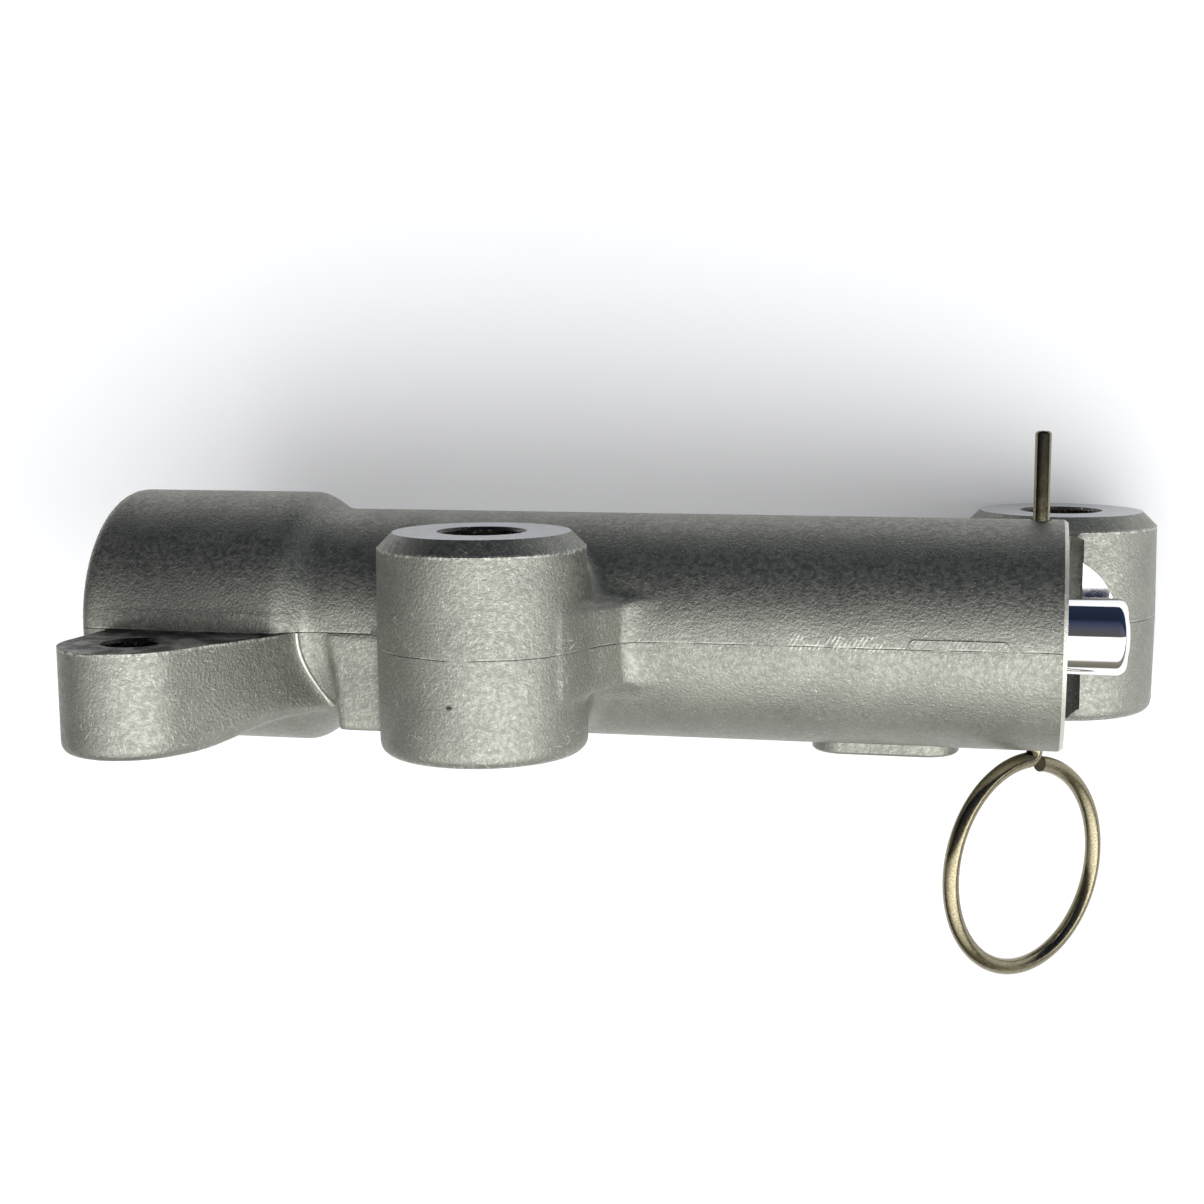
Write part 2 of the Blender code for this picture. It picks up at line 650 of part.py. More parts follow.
def build_housing():
    housing = tube_blank()
    centre_place = (CENTRE_BOSS_STATION, CENTRE_BOSS_OFFSET)
    rear_place = (REAR_BOSS_STATION, -REAR_BOSS_OFFSET)
    combine(housing, boss_blank("centre_boss", *centre_place), "UNION")
    combine(housing, boss_blank("rear_boss", *rear_place), "UNION")
    combine(housing, lug_blank(), "UNION")
    for web in webs():
        combine(housing, web, "UNION")
    bolt = (BOSS_TOP, BOSS_BOTTOM, HOLE_CHAMFER)
    combine(housing, straight_hole("centre_hole", BOLT_HOLE_D, *centre_place, *bolt), "DIFFERENCE")
    combine(housing, straight_hole("rear_hole", BOLT_HOLE_D, *rear_place, *bolt), "DIFFERENCE")
    combine(housing, straight_hole("lug_hole", LUG_HOLE_D, LUG_STATION, LUG_DEPTH, 0.0, LUG_HEIGHT,
                                   HOLE_CHAMFER), "DIFFERENCE")
    combine(housing, facing_cutter(), "DIFFERENCE")
    combine(housing, relief_cutter(), "DIFFERENCE")
    combine(housing, bore_cutter(), "DIFFERENCE")
    combine(housing, cross_hole("pin_hole", PIN_WIRE_D + 2 * FIT, PIN_STATION, TUBE_OD / 2 + OVERSHOOT),
            "DIFFERENCE")
    dress(housing, CAST_ALUMINIUM)


def build_push_rod():
    """The rod with its domed tip, the collar that the return spring pushes on and the pin's hole."""
    rod = ROD_D / 2
    collar = COLLAR_D / 2
    seat = RING_SEAT_D / 2
    tip = -ROD_REACH
    land = rod - ROD_TIP_CHAMFER
    profile = [(0.0, tip)]
    for share in (0.5, 0.8, 1.0):
        profile.append((land * share, tip + ROD_DOME * share ** 2))
    profile += [
        (rod, tip + ROD_DOME + ROD_TIP_CHAMFER), (rod, COLLAR_START),
        (collar - MOUTH_CHAMFER, COLLAR_START), (collar, COLLAR_START + MOUTH_CHAMFER),
        (collar, RING_SEAT_START), (seat, RING_SEAT_START), (seat, SPIGOT_START),
        (rod, SPIGOT_START), (rod, ROD_END - MOUTH_CHAMFER),
        (rod - MOUTH_CHAMFER, ROD_END), (0.0, ROD_END),
    ]
    piece = on_axis("push_rod", profile, BOSS_SEGMENTS)
    hole_station = PIN_STATION - (ROD_HOLE_PLAY - FIT)
    hole = cross_hole("rod_pin_hole", PIN_WIRE_D + 2 * ROD_HOLE_PLAY, hole_station, ROD_D)
    combine(piece, hole, "DIFFERENCE")
    dress(piece, POLISHED_STEEL)


def build_pull_pin():
    """A straight leg that is bent at the bottom and wound round into the finger ring."""
    leg_end = -(TUBE_OD / 2 + PIN_BEND_DROP)
    along = [(0.0, PIN_TIP), (0.0, PIN_TIP - PIN_TIP_CHAMFER)]
    along += arc((-PIN_BEND_R, leg_end), PIN_BEND_R, 0.0, -math.pi / 2, 5)
    centre = (-PIN_BEND_R, -RING_DROP)
    first = math.pi / 2
    for step in range(1, RING_POINTS + 1):
        share = step / RING_POINTS
        angle = first + (RING_END_ANGLE - first) * share
        radius = RING_R + RING_SPIRAL * (0.5 - share)
        along.append((centre[0] + radius * math.cos(angle), centre[1] + radius * math.sin(angle)))
    path = [(u * math.cos(RING_TURN), v, -u * math.sin(RING_TURN)) for u, v in along]
    tapers = {0: 1 - 2 * PIN_TIP_CHAMFER / PIN_WIRE_D}
    piece = wire("pull_pin", path, PIN_WIRE_D, point(PIN_STATION), (0.0, 0.0, 0.0), 3, tapers)
    dress(piece, PLATED_WIRE)


def rod_guide_radius():
    return ROD_D / 2 + FIT + BUSH_WALL


def build_mouth_pieces():
    """Snap ring, oil seal with its case and garter spring, and the rod's bush."""
    seal = SEAL_BORE_D / 2
    outer = seal + SNAP_GROOVE_DEPTH - FIT
    retaining_ring("snap_ring", outer, SNAP_RADIAL_WIDTH, SNAP_THICKNESS, SNAP_START,
                   SNAP_RADIAL_WIDTH / 3)

    case = seal - FIT
    inside = case - SEAL_CASE_WALL
    end = SEAL_START + SEAL_WIDTH
    start = SEAL_START + FIT
    profile = [(case, start), (case, end), (inside, end), (inside, start + SEAL_CASE_WALL),
               (inside - SEAL_CASE_LIP, start + SEAL_CASE_WALL), (inside - SEAL_CASE_LIP, start)]
    dress(on_axis("seal_case", profile, closed=True), GROUND_STEEL)

    top = start + SEAL_CASE_WALL + FIT
    heel = top + SEAL_BODY_WIDTH
    body = inside - FIT
    lip = ROD_D / 2 + FIT
    waist = body - SEAL_BODY_WALL
    toe = heel + LIP_LENGTH
    garter_station = heel + LIP_LENGTH / 2
    profile = [(body, top), (body, heel), (waist + LIP_WALL, heel),
               (lip + LIP_WALL, garter_station), (waist + LIP_WALL / 2, toe), (waist, toe),
               (lip, garter_station), (waist, heel), (lip, top)]
    dress(on_axis("oil_seal", profile, closed=True), SEAL_RUBBER)

    middle = lip + LIP_WALL + FIT + GARTER_WIRE_D / 2
    profile = arc((middle, garter_station), GARTER_WIRE_D / 2, -math.pi, math.pi, 8)[:-1]
    dress(on_axis("garter_spring", profile, closed=True), SPRING_STEEL)

    profile = ring_profile(rod_guide_radius(), ROD_D / 2 + FIT, BUSH_START + FIT,
                           BORE_START - FIT, MOUTH_CHAMFER)
    dress(on_axis("rod_guide_bush", profile, closed=True), BEARING_BRONZE)


def build_collar_pieces():
    """Guide ring on the collar, spring seat behind it and the return spring."""
    outer = MAIN_BORE_D / 2 - FIT
    inner = RING_SEAT_D / 2 + FIT
    width = RING_SEAT_WIDTH - FIT
    outline = split_ring_outline(outer, inner, WEAR_RING_GAP)
    middle = point(RING_SEAT_START + FIT + width / 2)
    piece = slab("wear_ring", [outline], width - FIT, middle, ALONG_TUBE)
    dress(piece, GUIDE_PLASTIC)

    hole = ROD_D / 2 + FIT
    hub = hole + SPRING_SEAT_HUB_WALL
    brim_end = SPRING_SEAT_START + SPRING_SEAT_THICKNESS
    profile = [(outer - FIT, SPRING_SEAT_START), (outer - FIT, brim_end), (hub, brim_end),
               (hub, brim_end + SPRING_SEAT_HUB), (hole, brim_end + SPRING_SEAT_HUB),
               (hole, SPRING_SEAT_START)]
    dress(on_axis("spring_seat", profile, closed=True), GROUND_STEEL)

    mean = (SLEEVE_OD + MAIN_BORE_D) / 2
    piece = coil("return_spring", mean, RETURN_WIRE_D, brim_end + FIT, PLUG_START - FIT,
                 RETURN_TURNS, 14, 1)
    dress(piece, SPRING_STEEL)


def build_pressure_chamber():
    """Sleeve, plunger and the spring between the plunger and the plug."""
    sleeve = ring_profile(SLEEVE_OD / 2, SLEEVE_ID / 2, SLEEVE_START, SLEEVE_END, PLUG_CHAMFER)
    dress(on_axis("pressure_sleeve", sleeve, closed=True), GROUND_STEEL)

    outer = SLEEVE_ID / 2 - FIT
    pocket_start = PLUNGER_END - VALVE_POCKET_DEPTH
    profile = [
        (outer - PLUG_CHAMFER, PLUNGER_START), (outer, PLUNGER_START + PLUG_CHAMFER),
        (outer, PLUNGER_END), (VALVE_POCKET_D / 2, PLUNGER_END),
        (VALVE_POCKET_D / 2, pocket_start), (PLUNGER_BORE_D / 2, pocket_start),
        (PLUNGER_BORE_D / 2, PLUNGER_START),
    ]
    plunger = on_axis("plunger", profile, closed=True)
    slot = add_box("plunger_slot", point(PLUNGER_START),
                   (2 * PLUNGER_SLOT_DEPTH, SLEEVE_ID, PLUNGER_SLOT_WIDTH))
    combine(plunger, slot, "DIFFERENCE")
    dress(plunger, GROUND_STEEL)

    mean = (RETAINER_CROWN_D + SLEEVE_ID) / 2
    piece = coil("plunger_spring", mean, PLUNGER_WIRE_D, PLUNGER_SPRING_START, PLUNGER_SPRING_END,
                 PLUNGER_SPRING_TURNS, 11, 1)
    dress(piece, SPRING_STEEL)


def add_box(name, centre, size):
    mesh = bpy.data.meshes.new(name)
    shape = bmesh.new()
    bmesh.ops.create_cube(shape, size=1.0)
    bmesh.ops.scale(shape, vec=size, verts=shape.verts)
    shape.to_mesh(mesh)
    shape.free()
    return add_object(name, mesh, centre)


def build_check_valve():
    """Seat, ball, ball spring and the cage that holds them in the plunger's end."""
    seat_r = VALVE_POCKET_D / 2 - FIT
    hole = VALVE_HOLE_D / 2
    start = VALVE_SEAT_END - VALVE_SEAT_THICKNESS
    profile = ring_profile(seat_r, hole, start, VALVE_SEAT_END)
    dress(on_axis("check_valve_seat", profile, closed=True), GROUND_STEEL)

    mesh = bpy.data.meshes.new("check_ball")
    shape = bmesh.new()
    bmesh.ops.create_uvsphere(shape, u_segments=16, v_segments=10, radius=BALL_D / 2)
    shape.to_mesh(mesh)
    shape.free()
    dress(add_object("check_ball", mesh, point(BALL_STATION), ALONG_TUBE), POLISHED_STEEL)

    crown = RETAINER_CROWN_D / 2
    inside = crown - RETAINER_WALL
    brim = SLEEVE_ID / 2 - FIT
    brim_end = RETAINER_START + RETAINER_WALL
    vent = RETAINER_VENT_D / 2
    profile = [
        (brim, RETAINER_START), (brim, brim_end), (crown, brim_end), (crown, RETAINER_END),
        (vent, RETAINER_END), (vent, RETAINER_END - RETAINER_WALL),
        (inside, RETAINER_END - RETAINER_WALL), (inside, RETAINER_START),
    ]
    dress(on_axis("check_valve_retainer", profile, closed=True), GROUND_STEEL)

    start = BALL_STATION + BALL_RISE + FIT
    piece = coil("check_ball_spring", VALVE_HOLE_D + BALL_WIRE_D / 2, BALL_WIRE_D, start,
                 RETAINER_END - RETAINER_WALL - FIT, BALL_SPRING_TURNS, 10, 1)
    dress(piece, SPRING_STEEL)


def build_plug_pieces():
    """Plug, its seal ring and its circlip."""
    outer = PLUG_BORE_D / 2 - FIT
    groove = outer - PLUG_GROOVE_DEPTH
    groove_start = PLUG_START + PLUG_GROOVE_SETBACK
    groove_end = groove_start + PLUG_GROOVE_WIDTH
    pocket = SLEEVE_OD / 2 + FIT
    dish = PLUG_DISH_D / 2
    profile = [
        (0.0, POCKET_FLOOR), (pocket, POCKET_FLOOR), (pocket, PLUG_START),
        (outer - PLUG_CHAMFER, PLUG_START), (outer, PLUG_START + PLUG_CHAMFER),
        (outer, groove_start), (groove, groove_start), (groove, groove_end), (outer, groove_end),
        (outer, PLUG_END - PLUG_CHAMFER), (outer - PLUG_CHAMFER, PLUG_END),
        (dish, PLUG_END), (dish - PLUG_DISH_DEPTH, PLUG_END - PLUG_DISH_DEPTH),
        (0.0, PLUG_END - PLUG_DISH_DEPTH),
    ]
    dress(on_axis("end_plug", profile), GROUND_STEEL)

    section_r = (PLUG_GROOVE_DEPTH - FIT) / 2
    middle = groove + FIT + section_r
    profile = arc((middle, (groove_start + groove_end) / 2), section_r, -math.pi, math.pi, 8)[:-1]
    dress(on_axis("plug_seal_ring", profile, closed=True), SEAL_RUBBER)

    clip = PLUG_BORE_D / 2 + CIRCLIP_GROOVE_DEPTH - FIT
    retaining_ring("end_circlip", clip, CIRCLIP_RADIAL_WIDTH, CIRCLIP_THICKNESS, CIRCLIP_START,
                   CIRCLIP_RADIAL_WIDTH / 2)


build_housing()
build_push_rod()
build_pull_pin()
build_mouth_pieces()
build_collar_pieces()
build_pressure_chamber()
build_check_valve()
build_plug_pieces()
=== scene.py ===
"""Looks of the timing belt hydraulic tensioner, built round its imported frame.

Stations along the tube are measured back from its mouth, towards -X.
Heights are measured from the tube's axis towards +Y, and depths from it towards +Z.
"""
import math

import bmesh
import bpy
import numpy as np
from mathutils import Matrix, Vector


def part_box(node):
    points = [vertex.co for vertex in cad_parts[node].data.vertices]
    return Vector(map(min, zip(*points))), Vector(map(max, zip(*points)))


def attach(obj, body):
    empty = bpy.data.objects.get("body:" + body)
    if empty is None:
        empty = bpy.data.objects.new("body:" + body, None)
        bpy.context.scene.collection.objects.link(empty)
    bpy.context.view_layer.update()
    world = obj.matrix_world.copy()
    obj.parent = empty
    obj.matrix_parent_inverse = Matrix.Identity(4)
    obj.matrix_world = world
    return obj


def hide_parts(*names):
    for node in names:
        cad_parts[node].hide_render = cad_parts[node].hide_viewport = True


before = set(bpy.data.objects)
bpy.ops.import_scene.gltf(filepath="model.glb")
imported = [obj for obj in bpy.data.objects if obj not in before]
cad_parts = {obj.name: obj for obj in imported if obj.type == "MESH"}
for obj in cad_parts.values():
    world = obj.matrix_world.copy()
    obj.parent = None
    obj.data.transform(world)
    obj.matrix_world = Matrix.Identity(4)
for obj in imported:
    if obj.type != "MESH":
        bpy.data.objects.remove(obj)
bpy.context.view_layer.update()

# The casting's tube and barrel head.
TUBE_R = 0.01495
BODY_LENGTH = 0.1290
BARREL_R = 0.0172
BARREL_LENGTH = 0.0269
SHOULDER_LENGTH = 0.0053
BARREL_EDGE_ROUND = 0.0020
MOUTH_EDGE_ROUND = 0.0003
SHOULDER_START = BODY_LENGTH - BARREL_LENGTH - SHOULDER_LENGTH

# The two bolt bosses.
BOSS_R = 0.01325
BOSS_TOP = 0.0143
BOSS_BOTTOM = 0.0134
BOSS_DRAFT = 0.0002
BOSS_CHAMFER = 0.0019
BOSS_EDGE_ROUND = 0.0015
CENTRE_BOSS_STATION = 0.0719
CENTRE_BOSS_DEPTH = 0.0200
REAR_BOSS_STATION = 0.0005
REAR_BOSS_DEPTH = -0.0225
BOLT_HOLE_R = 0.00525
HOLE_CHAMFER = 0.0004

# The small lug and its web.
LUG_R = 0.00915
LUG_STATION = 0.1161
LUG_DEPTH = 0.0270
LUG_HEIGHT = 0.0136
LUG_HOLE_R = 0.0035
LUG_EDGE_ROUND = 0.0014
LUG_WEB_HEIGHT = 0.0113
LUG_WEB_LEAN = math.radians(30.3)
LUG_WEB_FILLET = 0.0007
LUG_FALL_START = 0.1080
LUG_FALL_END = 0.1000

# Webs and pads on the tube.
WEB_TOP = 0.0058
WEB_BOTTOM = 0.0062
WEB_TURN = math.radians(62)
WEB_BLEND = 0.0040
WEB_SINK = 0.0011
REAR_WEB_HEIGHT = 0.0105
REAR_WEB_BLEND = 0.0080
REAR_WEB_SINK = 0.0042
BLOCK_LENGTH = 0.0083
BLOCK_DEPTH = 0.0152
BLOCK_HEIGHT = 0.0130
BLOCK_EDGE = 0.0006
BLOCK_SLANT = 0.0011
RIB_START = 0.0132
RIB_LENGTH = 0.0193
RIB_WIDTH = 0.0088
RIB_PROUD = 0.0009
RIB_BEVEL = 0.0003
PAD_START = 0.0069
PAD_LENGTH = 0.0122
PAD_WIDTH = 0.0015
PAD_PROUD = 0.00016
PAD_BEVEL = 0.00006
PAD_ABOVE_SEAM = 0.0002

# Machining round the mouth and inside.
FACING_R = 0.01500
FACING_SLOT = 0.0024
RELIEF_R = 0.0100
RELIEF_STATION = 0.0028
RELIEF_LIFT = -0.0003
RELIEF_LOW = -0.0045
RELIEF_CUT = 0.0022
RELIEF_TILT = 0.07
RELIEF_LEVEL = 0.0070
MOUTH_CHAMFER = 0.0005
RIM_WIDTH = 0.0005
RIM_DEPTH = 0.00035
SNAP_GROOVE = (0.00585, 0.00745, 0.0093)
SEAL_BORE_R = 0.0085
SEAL_FLOOR = 0.01295
ROD_BORE_R = 0.0056
BUSH_BORE_R = 0.0080
BUSH_START = 0.01445
BORE_R = 0.0113
BORE_START = 0.02775
PLUG_BORE_R = 0.0130
PLUG_START = 0.1122
CIRCLIP_GROOVE = (0.1223, 0.1243, 0.0139)
PIN_HOLE_R = 0.00135

# The rod, with the collar and the spigot that stay inside.
ROD_R = 0.0050
ROD_REACH = 0.0082
ROD_DOME = 0.0004
ROD_EDGE_R = 0.0014
ROD_HOLE_R = 0.00145
ROD_HOLE_STATION = 0.0033
COLLAR_START = 0.03975
COLLAR_R = 0.0095
RING_SEAT_START = 0.04125
RING_SEAT_R = 0.0080
SPIGOT_START = 0.04525
ROD_END = 0.05195
ROD_CHAMFER = 0.0005
ROD_DOME_STEPS = 8

# The pull pin, one bent wire.
PIN_WIRE_R = 0.00105
PIN_STATION = 0.0034
PIN_TIP = 0.0263
PIN_TIP_CHAMFER = 0.00035
PIN_BEND_R = 0.0013
PIN_BEND_DROP = 0.0001
RING_R = 0.01366
RING_SPIRAL = 0.0006
RING_TURN = math.radians(48)
RING_END_ANGLE = math.radians(440)

# Cast fillets and the size of one cell of the sculpting grid.
FILLET = 0.0016
BOSS_FILLET = 0.0040
FILLET_FADE_START = 0.0060
FILLET_FADE_END = 0.0110
WEB_FILLET = 0.0012
WEB_EDGE = 0.0012
WEB_INSET = 0.0004
BEAD_R = 0.00032
BEAD_DROP = 0.0104
BEAD_STEPS = 24
BEAD_SWELLS = (1.15, 1.4, 1.5, 1.1)
CELL = 0.00056
STOCK = 3 * CELL
MARGIN = 3 * CELL

# How finely the round tools and pieces are turned.
BOSS_SIDES = 128
BOLT_HOLE_SIDES = 72
LUG_HOLE_SIDES = 60
PIN_HOLE_SIDES = 32
MOUTH_SIDES = 160
BORE_SIDES = 96
SKIN_SIDES = 256
ROD_SIDES = 192
ROD_HOLE_SIDES = 48
WIRE_SIDES = 24
RING_STEPS = 220
SLAB_END_STEPS = 20

HOUSING_LOW, HOUSING_HIGH = (Vector(corner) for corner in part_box("housing"))
ROD_LOW, ROD_HIGH = (Vector(corner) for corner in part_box("push_rod"))
MOUTH_X = HOUSING_LOW.x + BODY_LENGTH
AXIS_Y = (ROD_LOW.y + ROD_HIGH.y) / 2
AXIS_Z = (ROD_LOW.z + ROD_HIGH.z) / 2


def point(station, height=0.0, depth=0.0):
    """The place in the frame of a station, a height and a depth."""
    return Vector((MOUTH_X - station, AXIS_Y + height, AXIS_Z + depth))


def add_mesh(name, vertices, faces):
    mesh = bpy.data.meshes.new(name)
    mesh.from_pydata(vertices, [], faces)
    mesh.update()
    piece = bpy.data.objects.new(name, mesh)
    bpy.context.scene.collection.objects.link(piece)
    return piece


def casting_radius(station):
    """The outer radius of tube, shoulder and barrel at a station."""
    share = np.clip((station - SHOULDER_START) / SHOULDER_LENGTH, 0.0, 1.0)
    return TUBE_R + (BARREL_R - TUBE_R) * (1 - np.cos(math.pi * share)) / 2


def round_join(a, b, radius):
    """The union of two solids with a fillet of a given radius between them."""
    inner = np.hypot(np.maximum(radius - a, 0.0), np.maximum(radius - b, 0.0))
    return np.maximum(np.minimum(a, b), radius) - inner


def round_cut(a, b, radius):
    """The part common to two solids, with a rounded edge of a given radius."""
    outer = np.hypot(np.maximum(a + radius, 0.0), np.maximum(b + radius, 0.0))
    return np.minimum(np.maximum(a, b), -radius) + outer


def outline_distance(u, v, outline):
    """Signed distance in a plane to a closed outline, negative inside."""
    nearest = np.full(u.shape, np.inf)
    inside = np.zeros(u.shape, bool)
    for (u0, v0), (u1, v1) in zip(outline, outline[1:] + outline[:1]):
        along_u = u1 - u0
        along_v = v1 - v0
        length = along_u * along_u + along_v * along_v
        share = np.clip(((u - u0) * along_u + (v - v0) * along_v) / length, 0.0, 1.0)
        nearest = np.minimum(nearest, np.hypot(u - u0 - share * along_u, v - v0 - share * along_v))
        if v0 != v1:
            crosses = (v0 > v) != (v1 > v)
            at = u0 + (v - v0) / (v1 - v0) * along_u
            inside ^= crosses & (u < at)
    return np.where(inside, -nearest, nearest)


def arc(centre, radius, first, last, steps):
    angles = [first + (last - first) * i / steps for i in range(steps + 1)]
    return [(centre[0] + radius * math.cos(a), centre[1] + radius * math.sin(a)) for a in angles]


def lug_web_outline():
    """The lug and the straight flank from it to the tube, as (station, depth) points."""
    lobe = arc((LUG_STATION, LUG_DEPTH), LUG_R, 0.0, math.pi - LUG_WEB_LEAN, 28)
    start_station, start_depth = lobe[-1]
    web_end = start_station - math.tan(LUG_WEB_LEAN) * start_depth
    back = LUG_STATION + LUG_R - BARREL_EDGE_ROUND
    return lobe + [(web_end, 0.0), (back, 0.0)]


def boss_web_outline(station, offset, crest, blend):
    """A web whose edge runs in a hollow curve from a boss down to the tube's crest."""
    reach = BOSS_R + blend
    run = math.sqrt(reach ** 2 - (crest + blend - offset) ** 2)
    centre = (run, crest + blend)
    to_boss = math.atan2(offset - centre[1], -run) % (2 * math.pi)
    hollow = arc(centre, blend, to_boss, 1.5 * math.pi, 16)
    outline = [(0.0, 0.0), (0.0, offset)] + hollow + [(run, 0.0)]
    return [(station + along, out) for along, out in outline]


def flank_web_outline(station, offset, crest, turn, blend):
    """A web whose straight flank leaves a boss at a turn and runs out on the tube's crest."""
    start = (BOSS_R * math.sin(turn), offset + BOSS_R * math.cos(turn))
    run = (BOSS_R + blend + (offset - crest - blend) * math.cos(turn)) / math.sin(turn)
    foot = arc((run, crest + blend), blend, 1.5 * math.pi - turn, 1.5 * math.pi, 12)
    outline = [(0.0, 0.0), (0.0, offset), start] + foot + [(run, 0.0)]
    return [(station - along, out) for along, out in outline]


def between(height, low, high):
    """Signed distance to the slab between two heights."""
    return np.abs(height - (low + high) / 2) - (high - low) / 2


class Grid:
    """The sculpting grid: a station, a height and a depth for each of its points."""

    def __init__(self):
        low = HOUSING_LOW - Vector((MARGIN, MARGIN, MARGIN))
        high = HOUSING_HIGH + Vector((MARGIN, MARGIN, MARGIN))
        self.low = low
        counts = [int((high[i] - low[i]) / CELL) + 2 for i in range(3)]
        axes = [low[i] + CELL * np.arange(counts[i]) for i in range(3)]
        self.station = (MOUTH_X - axes[0])[:, None, None]
        self.height = (axes[1] - AXIS_Y)[None, :, None]
        self.depth = (axes[2] - AXIS_Z)[None, None, :]
        flat_station, flat_depth = np.meshgrid(self.station[:, 0, 0], self.depth[0, 0, :], indexing="ij")
        self.flat_station = flat_station
        self.flat_depth = flat_depth

    def extruded(self, outline, low, high, edge):
        """An outline in (station, depth) between two heights, with rounded rims."""
        flat = outline_distance(self.flat_station, self.flat_depth, outline)
        return round_cut(flat[:, None, :], between(self.height, low, high), edge)


def tube_solid(grid):
    """Tube, shoulder and barrel head."""
    wall = np.hypot(grid.height, grid.depth) - casting_radius(grid.station)
    solid = round_cut(wall, grid.station - BODY_LENGTH, BARREL_EDGE_ROUND)
    return round_cut(solid, -grid.station - 2 * CELL, MOUTH_EDGE_ROUND)


def boss_solid(grid, station, depth):
    """A cast bolt boss with a little draft and stock on top for machining."""
    radial = np.hypot(grid.station - station, grid.depth - depth)
    radius = BOSS_R - BOSS_DRAFT * np.abs(grid.height) / BOSS_TOP
    return round_cut(radial - radius, between(grid.height, -BOSS_BOTTOM, BOSS_TOP + STOCK), BOSS_EDGE_ROUND)


def lug_solid(grid):
    """The lug and its web, whose underside rises from the lug towards the tube."""
    wall = outline_distance(grid.flat_station, grid.flat_depth, lug_web_outline())[:, None, :]
    share = np.clip((LUG_FALL_START - grid.station) / (LUG_FALL_START - LUG_FALL_END), 0.0, 1.0)
    rise = (LUG_HEIGHT - LUG_WEB_HEIGHT) * share * share * (3 - 2 * share)
    solid = round_cut(wall, rise - LUG_HEIGHT - grid.height, LUG_EDGE_ROUND)
    return np.maximum(solid, grid.height - STOCK)


def block_solid(grid):
    """The block beside the centre boss, whose far end leans."""
    low_end = CENTRE_BOSS_STATION + BOSS_R + BLOCK_LENGTH
    end = low_end + 2 * BLOCK_SLANT
    outline = [(CENTRE_BOSS_STATION, 0.0), (CENTRE_BOSS_STATION, BLOCK_DEPTH), (end, BLOCK_DEPTH), (end, 0.0)]
    slab = grid.extruded(outline, -BLOCK_HEIGHT, 0.0, BLOCK_EDGE)
    leaning = grid.station - low_end - BLOCK_SLANT * (1 + grid.height / BLOCK_HEIGHT)
    return round_cut(slab, leaning, BLOCK_EDGE)


def sculpt_casting(grid):
    """The whole raw casting as one field of signed distances."""
    front_crest = TUBE_R - WEB_SINK
    front_web = flank_web_outline(CENTRE_BOSS_STATION, CENTRE_BOSS_DEPTH, front_crest, WEB_TURN, WEB_BLEND)
    rear_crest = TUBE_R - REAR_WEB_SINK
    rear_web = boss_web_outline(REAR_BOSS_STATION, -REAR_BOSS_DEPTH, rear_crest, REAR_WEB_BLEND)
    rear_web = [(station, -depth) for station, depth in rear_web]
    casting = tube_solid(grid)
    casting = round_join(casting, lug_solid(grid), LUG_WEB_FILLET)
    casting = round_join(casting, block_solid(grid), FILLET / 2)
    centre = boss_solid(grid, CENTRE_BOSS_STATION, CENTRE_BOSS_DEPTH)
    share = np.clip((grid.height - FILLET_FADE_START) / (FILLET_FADE_END - FILLET_FADE_START), 0.0, 1.0)
    casting = round_join(casting, centre, BOSS_FILLET + (FILLET - BOSS_FILLET) * share)
    web = grid.extruded(front_web, -WEB_BOTTOM, WEB_TOP, WEB_EDGE) + WEB_INSET
    casting = round_join(casting, web, WEB_FILLET)
    rear = boss_solid(grid, REAR_BOSS_STATION, REAR_BOSS_DEPTH)
    back_web = grid.extruded(rear_web, -REAR_WEB_HEIGHT, REAR_WEB_HEIGHT, BOSS_EDGE_ROUND) + WEB_INSET
    rear = round_join(rear, np.maximum(back_web, -grid.station), WEB_FILLET)
    return round_join(casting, rear, FILLET)


def surface_of(field, low):
    """Vertices and quads of the surface where a field of signed distances is zero."""
    inside = field < 0.0
    corners = [(i, j, k) for i in (0, 1) for j in (0, 1) for k in (0, 1)]
    shape = tuple(n - 1 for n in field.shape)

    def block(data, offset):
        return data[tuple(slice(o, o + n) for o, n in zip(offset, shape))]

    count = sum(block(inside, corner).astype(np.int8) for corner in corners)
    cells = np.argwhere((count > 0) & (count < 8))
    index = np.full(shape, -1, np.int64)
    index[tuple(cells.T)] = np.arange(len(cells))
    total = np.zeros((len(cells), 3))
    hits = np.zeros(len(cells))
    for axis in range(3):
        step = np.eye(3, dtype=int)[axis]
        for corner in corners:
            if corner[axis]:
                continue
            first = cells + np.array(corner)
            second = first + step
            a = field[tuple(first.T)]
            b = field[tuple(second.T)]
            crossing = (a < 0.0) != (b < 0.0)
            share = np.where(crossing, a / np.where(crossing, a - b, 1.0), 0.0)
            place = first + share[:, None] * step
            total[crossing] += place[crossing]
            hits[crossing] += 1
    vertices = total / hits[:, None]

    quads = []
    for axis in range(3):
        step = np.eye(3, dtype=int)[axis]
        other = [np.eye(3, dtype=int)[(axis + 1) % 3], np.eye(3, dtype=int)[(axis + 2) % 3]]
        lower = inside[tuple(slice(0, n - s) for n, s in zip(inside.shape, step))]
        upper = inside[tuple(slice(s, n) for n, s in zip(inside.shape, step))]
        starts = np.argwhere(lower != upper)
        leaving = lower[tuple(starts.T)]
        around = [starts - other[0] - other[1], starts - other[1], starts, starts - other[0]]
        ring = np.stack([index[tuple(cell.T)] for cell in around], axis=1)
        ring[~leaving] = ring[~leaving][:, ::-1]
        quads.append(ring)
    return np.array(low) + CELL * vertices, np.concatenate(quads)


